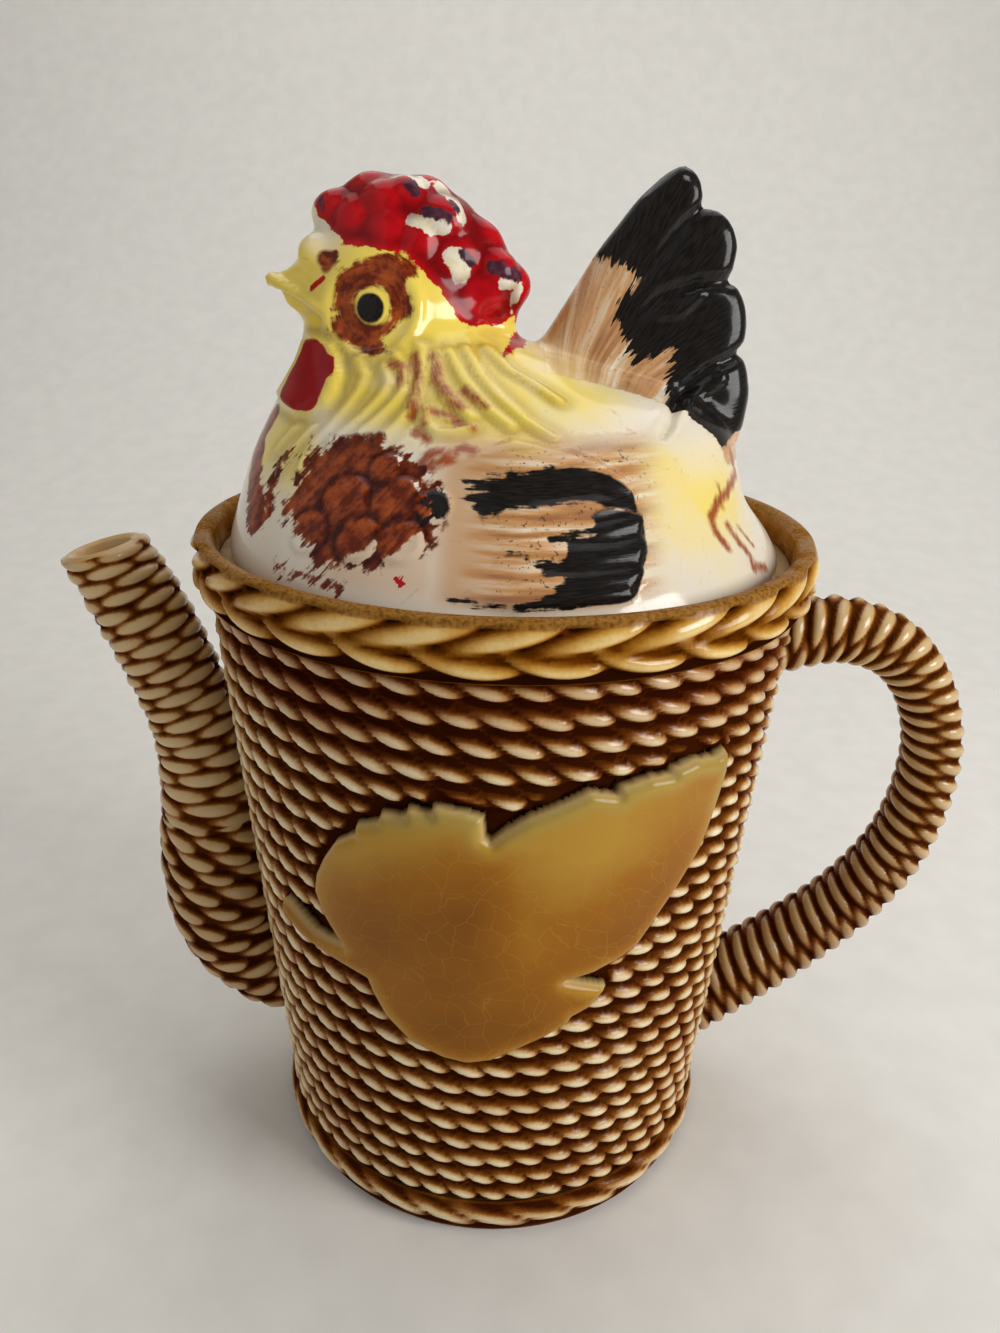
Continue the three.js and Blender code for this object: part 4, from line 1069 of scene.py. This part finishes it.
BROWN_LINES = (
    (1.3, ((-40.3, 167.3), (-42.7, 164.1), (-43.9, 159.3), (-43.9, 156.9))),
    (3.4, ((-46.5, 171.2), (-48.9, 167.1), (-48.6, 162.8), (-47.5, 158), (-46.6, 156))),
    (0.8, ((-40.4, 150.1), (-34.5, 150), (-28.2, 149.4))),
    (1.5, ((-35, 200.6), (-33.8, 200.6), (-34.5, 199.6))),
    (2.4, ((-23.6, 171.1), (-29.4, 168.7), (-34.5, 163.9), (-38.6, 159.6))),
    (1.2, ((-25, 171.4), (-30.1, 170.4), (-33.5, 167.2))),
)
RUST_LINES = (
    (0.9, ((-21.5, 183), (-19.5, 182.8), (-19.4, 180.1))),
    (0.9, ((-17.3, 184.7), (-16.4, 181.4), (-17, 177.4), (-16.8, 175.7))),
    (1.0, ((-13.8, 184.5), (-12.8, 181), (-10.2, 178.2), (-8.4, 176.8))),
    (0.7, ((-7.9, 179.7), (-5.8, 178.3), (-4, 177.2))),
    (0.75, ((-14.7, 174.4), (-14.5, 176.6), (-11.4, 176.2), (-8.3, 174.9), (-6.2, 174.2))),
    (0.9, ((-15.9, 173.2), (-14.1, 172.2))),
    (1.1, ((-14.9, 168.6), (-13, 170.3), (-11, 170.7), (-10.3, 169.6), (-12.8, 168.4))),
    (0.9, ((-8.7, 170.8), (-7.7, 171.4), (-5.7, 170.6))),
    (0.95, (
        (43.3, 167.9), (44.8, 163.7), (41.8, 161.7), (39.1, 160.6), (37.4, 158.8), (38.2, 156.5),
        (40.8, 153.7),
    )),
    (0.9, ((41.5, 156.5), (43.6, 153.6), (45.8, 151.4), (46.5, 149.4), (49.8, 148.3))),
    (0.5, ((44.4, 155.2), (47.2, 152.2))),
    (0.35, ((39.6, 163.2), (40.6, 159.4))),
)
RED_LINES = (
    (0.7, ((-17.5, 151.9), (-17.2, 151.7))),
    (0.6, ((-37.9, 195.3), (-35.1, 197.2))),
)
# Bare spots on the comb, and a dark purple painted reflection on its beads, as (half width, line in x, out,
# z)
CHIP_LINES = (
    (1.5, ((-21.3, 3.8, 215.2), (-18.6, 3.6, 215.0), (-17.3, 5, 213.7))),
    (1.5, ((-13.4, 3.3, 213.5), (-10.7, 5.8, 211.2), (-8.5, 8, 207.7))),
    (1.6, ((-18, 8.6, 207.5), (-15.5, 8.8, 206.6), (-13, 8.8, 206.8))),
    (2.3, ((-10.6, 9, 201.3), (-10.1, 8.2, 199))),
    (1.0, ((-1.5, 6.7, 197.1), (1.3, 5, 196.5), (0.6, 4.1, 191.5))),
)
BEAD_SHEEN_LINES = (
    (1.3, ((-19.9, 5.8, 213.6), (-18.2, 6.5, 212.5))),
    (0.8, ((-11.4, 6.4, 210.6), (-10.4, 7.2, 209.4))),
    (1.1, ((-16, 8.2, 209.1), (-11.8, 8.2, 208.4))),
    (1.1, ((-9.2, 9.2, 203.1), (-7.5, 8.5, 200.8))),
    (1.3, ((-3.3, 7.2, 199.9), (0.8, 4.8, 198.5))),
    (1.0, ((-35.8, 4.2, 210.4), (-35.4, 4.3, 209.3))),
)


def hen_regions(side):
    """Masks of the parts that are painted in their own way, and the distance from the eye in mm."""
    x, out, z = side.T
    tail = (x > 6) & (z > 164) & (out < SHOULDER_OUT)
    wattle = (x < -30) & (z > 173) & (z < 188)
    beak = (x < -33) & (z > 194)
    return {
        "head": (z > 182) & (x < -8),
        "tail": tail,
        "wing": (out > WING_OUT) & (x > -11) & (z < 173.5),
        "comb": (z > 203) | ((x > -17) & (z > 187) & (x < 5)),
        "shoulder": (x < -10) & (z < 172) & (out > SHOULDER_OUT),
        "small": wattle | beak,
        "rear": (x > 30) & (z < 168) & ~tail,
        "eye": np.hypot(x - EYE[0], z - EYE[1]),
    }


def paint_enamels(side, flat, on):
    """Depth in mm inside each brushed enamel, below 0 outside it, and the share of the thin rust."""
    x, z = flat.T
    out = side[:, 1]

    def patch(edge, where):
        return np.where(where, depth_inside(flat, edge), BARE)

    def lines(rows):
        lifted = ((wide, line if len(line[0]) == 3 else on_flank(line)) for wide, line in rows)
        return np.max([wide - line_gap(side, line) for wide, line in lifted], axis=0)

    pupil = np.where(on["head"], 2.6 - on["eye"], BARE)
    tip_x, tip_z, radius, _ = BLACK_TIP
    tip = radius - 0.4 - on_scale(side, BLACK_TIP)[0]
    tip = np.minimum(tip, 0.6 * (x - tip_x) + 0.2 * (tip_z - z) + 0.6)
    blacks = [patch(band, out > WING_OUT) for band in WING_BLACKS]
    black = np.max(blacks + [patch(TAIL_BLACK, on["tail"]), lines(BLACK_LINES), pupil, tip], axis=0)
    orbit = np.minimum(depth_inside(flat, EYE_BROWN), -depth_inside(flat, EYE_BARE))
    shoulder = patch(SHOULDER_BROWN, out > SHOULDER_OUT)
    brown = np.max([shoulder, lines(BROWN_LINES), np.where(on["head"], orbit, BARE)], axis=0)
    # The brown draws back over the lower part of some scales, and a thin pale rim along each scale's lower
    # edge is a painted highlight
    for scale in SCALES:
        sx, sz, radius, bare = scale
        gap, edge = on_scale(side, scale)
        # Painted highlight: a thin pale rim along the scale's lower edge
        drawn = 2.2 * np.exp(-((gap - radius + 0.5) / 0.35) ** 2) * edge
        lower = smoothstep(-0.6, 0.6, ((x - sx) - (z - sz)) / radius)
        drawn += bare * smoothstep(radius, radius - 1.0, gap) * lower
        brown = np.where(out > SHOULDER_OUT, brown - drawn, brown)
    comb = patch(COMB_RED, (x < 7) & (z > 183) & ~on["tail"])
    red = np.max([comb, lines(RED_LINES), patch(WATTLE_RED, out > WATTLE_OUT)], axis=0)
    return {
        "black": black, "brown": brown, "red": red, "chip": lines(CHIP_LINES),
        # The comb's dark purple marks are a painted reflection
        "bead_sheen": lines(BEAD_SHEEN_LINES), "rust": smoothstep(-1.3, 1.0, lines(RUST_LINES)),
    }


def bloom(flat, x, z, wide, tall):
    """A soft sprayed spot: 1 in its middle, fading over its half width and half height."""
    return np.exp(-(((flat[:, 0] - x) / wide) ** 2 + ((flat[:, 1] - z) / tall) ** 2))


def spray_colours(side, flat):
    """Shares of the sprayed yellow and tan, and how banded the tan is."""
    x, z = flat.T
    neck = smoothstep(168, 177, z + 0.12 * (x + 20)) * smoothstep(16, 2, x)
    saddle = bloom(flat, 8, 179, 15, 7)
    rump = 0.85 * bloom(flat, 37, 160, 16, 10) + 0.45 * bloom(flat, 25, 170, 10, 5)
    bib = 0.8 * smoothstep(-30, -38, x) * smoothstep(154, 168, z)
    face = 0.9 * (z > 184) * (x < 5)
    forehead = bloom(flat, -36, 206.5, 4.5, 3.6)
    root = (x > 0.5 + 0.6 * np.clip(z - 182, 0, None)) & (z > 166) & (side[:, 1] < SHOULDER_OUT)
    rise = z - 184 + 0.62 * (x - 3)
    fan = root * smoothstep(-3, 10, rise)
    lap = 0.7 * root * smoothstep(12, 0, rise) * smoothstep(-8, 0, rise)
    yellow = np.clip(np.max([neck, saddle, rump, bib, lap, face], axis=0), 0, 1) * (1 - 0.85 * forehead)
    wing = smoothstep(-15, -8, x) * smoothstep(29, 21, x) * smoothstep(147.5, 151, z)
    wing = wing * smoothstep(176, 169, z)
    under = 0.55 * smoothstep(-36, -28, x) * smoothstep(-10.5, -13.5, x) * smoothstep(148, 152, z)
    under = under * smoothstep(166, 160, z)
    peach = np.clip(np.max([0.95 * wing, 0.9 * fan, under], axis=0), 0, 1)
    return {"yellow": yellow, "peach": peach, "sand": np.where(root, 0.8, smoothstep(-9, 1, x))}


def laid_over(base, *layers):
    """A base with other values laid over it, one after another, where their masks say."""
    for where, value in layers:
        base = np.where(where, value, base)
    return base


def brush_marks(flat, on):
    """How ragged the enamels' edges are in mm, along the brush and in blots, and the brush's lay in mm."""
    x, z = flat.T
    eye = on["eye"]
    wing_tip = smoothstep(19, 10, x)
    rag = laid_over(
        0.9,
        (on["wing"], 0.3 + 0.9 * wing_tip),
        (on["tail"], 0.4 + 3.2 * smoothstep(40, 30, x)),
        (on["head"], np.where(eye < 3.3, 0.1, 0.9)),
        (on["small"], 0.15),
        (on["rear"], 1.1),
        (on["comb"], 0.1),
        (on["shoulder"], 1.2 + 2.0 * smoothstep(-24, -34, x)),
    )
    blot = laid_over(
        0.8,
        (on["head"], np.where(eye < 3.3, 0.15, 1.5)),
        (on["small"], 0.25),
        (on["comb"], 1.3),
        (on["shoulder"], 3.0),
        (on["wing"], 0.2 + 0.7 * wing_tip),
    )
    orbit = on["head"] & (eye < 11)
    along = laid_over(
        np.hypot(x + 22, z - 198),
        (on["wing"], x),
        (on["tail"], np.hypot(x - 8, z - 168)),
        (on["rear"], z),
        (on["shoulder"], 0.7 * (x + z)),
        (orbit, 7 * np.arctan2(z - EYE[1], x - EYE[0])),
    )
    across = laid_over(
        16 * np.arctan2(x + 22, 198 - z),
        (on["wing"], z),
        (on["tail"], 26 * np.arctan2(z - 168, x - 8)),
        (on["rear"], x),
        (on["shoulder"], 0.7 * (z - x)),
        (orbit, eye),
    )
    return {"rag": rag, "blot": blot}, along, across


def paint_hen(points, dip):
    """Every paint field of the hen; the brush's lay differs between the flanks."""
    side, flat = fold(points)
    on = hen_regions(side)
    edges, along, across = brush_marks(flat, on)
    lay = np.stack([along, across, 40.0 * np.sign(points[:, 1])], axis=1)
    fields = {**paint_enamels(side, flat, on), **spray_colours(side, flat), **edges}
    return {**fields, "dip": np.clip(dip, 0, 1), "lay": lay}


# Settings

def tint(name, description, code):
    """A colour setting whose default is an sRGB hex colour."""
    return bpy.props.FloatVectorProperty(
        name=name, description=description, subtype="COLOR", size=4, min=0, max=1, default=linear(code))


def length(name, description, default):
    """A length setting in metres."""
    return bpy.props.FloatProperty(
        name=name, description=description, default=default, min=0.0001, subtype="DISTANCE", unit="LENGTH")


class POT_PG_sizes(bpy.types.PropertyGroup):
    """Sizes that set how fine the modelled surfaces are."""

    rope_facet: length("Rope facet", "Width of a facet on the wall's rope", 0.00084)
    leaf_facet: length("Leaf facet", "Width of a facet on the leaf", 0.0005)
    leaf_back: length("Leaf back", "How far the leaf is let into the wall", 0.0016)
    hen_rough: length("Hen rough form", "Facet of the hen's first skin, which rounds its joints", 0.0012)
    hen_facet: length("Hen facet", "Facet of the hen's last skin, which carries the feathers", 0.00076)


class POT_PG_colours(bpy.types.PropertyGroup):
    """Glaze and enamel colours."""

    cream: tint("Cream", "Rope crests on the wall", "#EEDDB4")
    amber: tint("Amber", "Rope flanks, where the glaze is thin", "#8C5212")
    groove: tint("Groove", "Glaze pooled between the ropes", "#3A1704")
    gold: tint("Gold", "Crests of the mouth rope", "#ECCC86")
    straw: tint("Straw", "Crests on the handle and spout", "#D2B482")
    leaf: tint("Leaf", "The leaf's glaze", "#9C6208")
    leaf_light: tint("Leaf light", "The leaf's glaze where it is thin", "#B4882E")
    hen_white: tint("Hen white", "The hen's ground glaze", "#EBE0CC")
    lemon: tint("Lemon", "Sprayed yellow on the hen", "#F6DA5C")
    peach: tint("Peach", "Sprayed tan on the wings and tail", "#CC9254")
    chestnut: tint("Chestnut", "Brushed brown on the shoulder and round the eye", "#641F06")
    black: tint("Black", "Brushed black on the wings, tail and eye", "#141210")
    red: tint("Red", "Comb and wattles", "#BC0A14")


class POT_OT_stage(bpy.types.Operator):
    """Lay the floor, hang the lamps and set the camera at the photographed angle"""

    bl_idname = "hen_pot.stage"
    bl_label = "Stage"

    def execute(self, context):
        def sweep(u, v):
            # Floor, a quarter bend and a wall behind, in mm
            wide, deep, bend, back, drop = 6000, 3000, 600.0, 900.0, 0.2
            run = v * 5200
            flat = np.clip(run - deep, None, 0) + back - bend
            turn = np.clip((run - deep) / (bend * math.pi / 2), 0, 1) * math.pi / 2
            over = np.clip(run - deep - bend * math.pi / 2, 0, None)
            y = flat + bend * np.sin(turn)
            return np.stack([(u - 0.5) * wide, y, bend * (1 - np.cos(turn)) + over - drop], axis=1), {}

        floor = grid_piece("floor_sweep", 2, 104, sweep, wrapped=False)
        material, tree = new_material("pale_floor_paint")
        place = node(tree, "TexCoord", out="Object")
        # Faint mottle about 12 mm wide, as on sealed stone
        mottle = node(tree, "TexNoise", Vector=place, Scale=80.0, Detail=4.0)
        colour = node(
            tree, "ValToRGB", Fac=mottle, stops=((0.35, linear("#E6E3DC")), (0.65, linear("#EBE8E1"))),
        )
        shader = node(tree, "BsdfPrincipled", Base_Color=colour, Roughness=0.65)
        node(tree, "OutputMaterial", Surface=shader)
        floor.data.materials.append(material)
        world = bpy.data.worlds.new("studio")
        context.scene.world = world
        world.use_nodes = True
        background = world.node_tree.nodes["Background"]
        background.inputs["Color"].default_value = linear("#D8D6D4")
        background.inputs["Strength"].default_value = 0.3
        # Lamps: name, place, aim, size in metres and power in watts
        lamps = (
            ("key_softbox", (0.72, -0.36, 0.43), (0.02, 0, 0.09), 0.4, 5.2),
            ("fill_softbox", (-0.8, -0.6, 0.55), (0, 0, 0.1), 2.0, 4.2),
            ("top_softbox", (0.05, 0.35, 0.95), (0, 0, 0.12), 1.0, 3.8),
        )
        for name, place, aim, size, power in lamps:
            bpy.ops.object.light_add(type="AREA", location=place)
            lamp = context.object
            lamp.name = name
            lamp.data.size = size
            lamp.data.energy = power
            lamp.rotation_euler = (Vector(aim) - Vector(place)).to_track_quat("-Z", "Y").to_euler()
        # Camera worked out from the photograph: 27 mm lens on a 36 mm frame
        bpy.ops.object.camera_add()
        camera = context.object
        camera.name = "photo_camera"
        camera.data.lens = 27.0
        camera.data.sensor_width = 36.0
        camera.data.clip_start = 0.01
        pitch, yaw, roll = 0.398, -0.002, 0.025
        level = math.cos(pitch)
        forward = Vector((math.sin(yaw) * level, math.cos(yaw) * level, -math.sin(pitch)))
        right = Vector((math.cos(yaw), -math.sin(yaw), 0))
        up = right.cross(forward)
        cos, sin = math.cos(roll), math.sin(roll)
        right, up = right * cos + up * sin, up * cos - right * sin
        camera.matrix_world = Matrix.Translation((0, -0.20936, 0.20354)) @ Matrix(
            (right, up, -forward)).transposed().to_4x4()
        context.scene.camera = camera
        context.scene.view_settings.view_transform = "Standard"
        return {"FINISHED"}


def rope_stops(colours, crest):
    """Colours from the grooves to the crests of a rope; the crest stop is the second of them."""
    return (
        (0.46, colours.groove), (0.96, crest), (0.6, linear("#64340E")), (0.71, colours.amber),
        (0.82, linear("#CBA468")),
    )


class POT_OT_wall(bpy.types.Operator):
    """Model the roped wall and the cord round its foot"""

    bl_idname = "hen_pot.wall"
    bl_label = "Wall and foot"

    def execute(self, context):
        sizes, colours = context.scene.hen_pot_sizes, context.scene.hen_pot_colours
        stops = rope_stops(colours, colours.cream)
        material = rope_glaze("cream_rope_earthenware", stops, linear("#C08C4C"), 0.2)
        columns = round(TURN * SHOULDER_RADIUS * MM / sizes.rope_facet)
        wall = grid_piece("rope_wall", columns, len(wall_rows()) - 1, rope_wall)
        dress(wall, material, POT, "rope_glaze", "pot_body")
        foot = grid_piece("foot_cord", 406, 28, foot_cord)
        dress(foot, material, POT, "rope_glaze", "foot_rope")
        return {"FINISHED"}


class POT_OT_rim(bpy.types.Operator):
    """Model the plaited mouth rope"""

    bl_idname = "hen_pot.rim"
    bl_label = "Mouth rope"

    def execute(self, context):
        colours = context.scene.hen_pot_colours
        stops = (
            (0.38, linear("#2A1002")), (0.99, colours.gold), (0.55, linear("#6A3606")),
            (0.71, linear("#A8701E")), (0.86, linear("#D2A24A")),
        )
        material = rope_glaze("amber_plait_earthenware", stops, linear("#B88A44"), 0.17)
        dress(grid_piece("rim_plait", 486, 72, rim_plait), material, POT, "amber_glaze", "rim_rope")
        return {"FINISHED"}


class POT_OT_limbs(bpy.types.Operator):
    """Model the spout and the handle"""

    bl_idname = "hen_pot.limbs"
    bl_label = "Spout and handle"

    def execute(self, context):
        colours = context.scene.hen_pot_colours
        stops = rope_stops(colours, colours.straw)
        material = rope_glaze("tan_rope_earthenware", stops, linear("#A88450"), 0.22)
        spout = grid_piece("spout_pipe", 110, sum(SPOUT_ROWS), spout_pipe)
        dress(spout, material, POT, "rope_glaze", "spout")
        handle = grid_piece("handle_rope", 54, 372, handle_rope)
        dress(handle, material, POT, "rope_glaze", "handle")
        return {"FINISHED"}


class POT_OT_leaf(bpy.types.Operator):
    """Model the leaf on the front of the wall"""

    bl_idname = "hen_pot.leaf"
    bl_label = "Leaf"

    def execute(self, context):
        sizes, colours = context.scene.hen_pot_sizes, context.scene.hen_pot_colours
        wide = math.radians(LEAF_ARC[1] - LEAF_ARC[0]) * LEAF_ROUND * MM
        tall = (LEAF_SPAN[1] - LEAF_SPAN[0]) * MM
        columns, rows = round(wide / sizes.leaf_facet), round(tall / sizes.leaf_facet)
        leaf = grid_piece("leaf_relief", columns, rows, leaf_sheet, wrapped=False)
        mesh = leaf.data
        depth = np.empty(len(mesh.vertices), np.float32)
        mesh.attributes["edge"].data.foreach_get("value", depth)
        # The sheet is cut away outside the leaf
        mesh.polygons.foreach_set("select", np.zeros(len(mesh.polygons), bool))
        mesh.edges.foreach_set("select", np.zeros(len(mesh.edges), bool))
        mesh.vertices.foreach_set("select", depth < -LEAF_SKIRT)
        bpy.ops.object.mode_set(mode="EDIT")
        bpy.ops.mesh.select_mode(type="VERT")
        bpy.ops.mesh.delete(type="VERT")
        bpy.ops.object.mode_set(mode="OBJECT")
        back = leaf.modifiers.new("back", "SOLIDIFY")
        back.thickness = sizes.leaf_back
        back.offset = -1
        bpy.ops.object.modifier_apply(modifier="back")
        close_seams()
        dress(leaf, leaf_glaze("amber_leaf_earthenware", colours), POT, "leaf_glaze", "leaf_plaque")
        return {"FINISHED"}


class POT_OT_hen(bpy.types.Operator):
    """Model the hen lid from rough forms, carve its feathers and paint it"""

    bl_idname = "hen_pot.hen"
    bl_label = "Hen lid"

    def execute(self, context):
        sizes, colours = context.scene.hen_pot_sizes, context.scene.hen_pot_colours
        hollow = grid_piece("hen_hollow", 64, 40, hen_hollow)
        forms = [grid_piece("hen_lid", 160, 110, hen_form), grid_piece("tail", 220, 48, tail_form)]
        forms += balls(COMB_CORE) + balls(BEAK_CORE) + balls(NOSTRILS, True)
        hen = fuse(forms)
        reskin(hen, sizes.hen_rough, 5)
        cut = hen.modifiers.new("hollow", "BOOLEAN")
        cut.operation = "DIFFERENCE"
        cut.solver = "EXACT"
        cut.object = hollow
        bpy.ops.object.modifier_apply(modifier="hollow")
        bpy.data.objects.remove(hollow)
        reskin(hen, sizes.hen_facet, 3)
        mesh = hen.data
        points, normals = read_points(mesh, "co") / MM, read_points(mesh, "normal")
        # The hollow's skin lies well inside the body's ovals and stays plain
        skin, crown, rest = 2, 192, LID_SEAT + 0.6
        x, y, z = points.T
        breast, back, half = hen_section(z)
        along = (x - (breast + back) / 2) / ((back - breast) / 2 - skin)
        share = along ** 2 + (y / np.maximum(half - skin, 1)) ** 2
        outer = ((share > 1) | (z > crown)) & (z > rest)
        height, dip = carve_hen(points)
        carved = points + normals * (height * outer)[:, None]
        mesh.vertices.foreach_set("co", (carved * MM).ravel())
        for field, values in paint_hen(carved, dip).items():
            if field != "lay":
                values = np.where(outer, values, BARE if field in ENAMELS else 0.0)
            write_field(mesh, field, values)
        bpy.ops.object.shade_smooth()
        material = hen_glaze("painted_hen_earthenware", colours)
        dress(
            hen, material, LID, "hen_glaze", "hen_body", "comb", "tail_fan", "right_wing", "left_wing",
            "right_wattle", "left_wattle", "right_eye", "left_eye",
        )
        flange = bpy.data.objects["lid_flange"]
        flange.data.materials.clear()
        flange.data.materials.append(flange_glaze("white_flange_earthenware", colours))
        return {"FINISHED"}


class POT_PT_panel(bpy.types.Panel):
    """Lists the steps of the model"""

    bl_label = "Hen Pot"
    bl_idname = "POT_PT_panel"
    bl_space_type = "VIEW_3D"
    bl_region_type = "UI"
    bl_category = "Hen Pot"

    def draw(self, context):
        for step in STEPS:
            self.layout.operator(step.bl_idname)


STEPS = (POT_OT_stage, POT_OT_wall, POT_OT_rim, POT_OT_limbs, POT_OT_leaf, POT_OT_hen)
CLASSES = (POT_PG_sizes, POT_PG_colours) + STEPS + (POT_PT_panel,)


def register():
    """Adds the classes and the settings that they read."""
    for cls in CLASSES:
        bpy.utils.register_class(cls)
    bpy.types.Scene.hen_pot_sizes = bpy.props.PointerProperty(type=POT_PG_sizes)
    bpy.types.Scene.hen_pot_colours = bpy.props.PointerProperty(type=POT_PG_colours)


def unregister():
    """Takes the classes and settings away again."""
    del bpy.types.Scene.hen_pot_colours
    del bpy.types.Scene.hen_pot_sizes
    for cls in reversed(CLASSES):
        bpy.utils.unregister_class(cls)


def main():
    register()
    bpy.ops.hen_pot.stage()
    bpy.ops.hen_pot.wall()
    bpy.ops.hen_pot.rim()
    bpy.ops.hen_pot.limbs()
    bpy.ops.hen_pot.leaf()
    bpy.ops.hen_pot.hen()


if __name__ == "__main__":
    main()
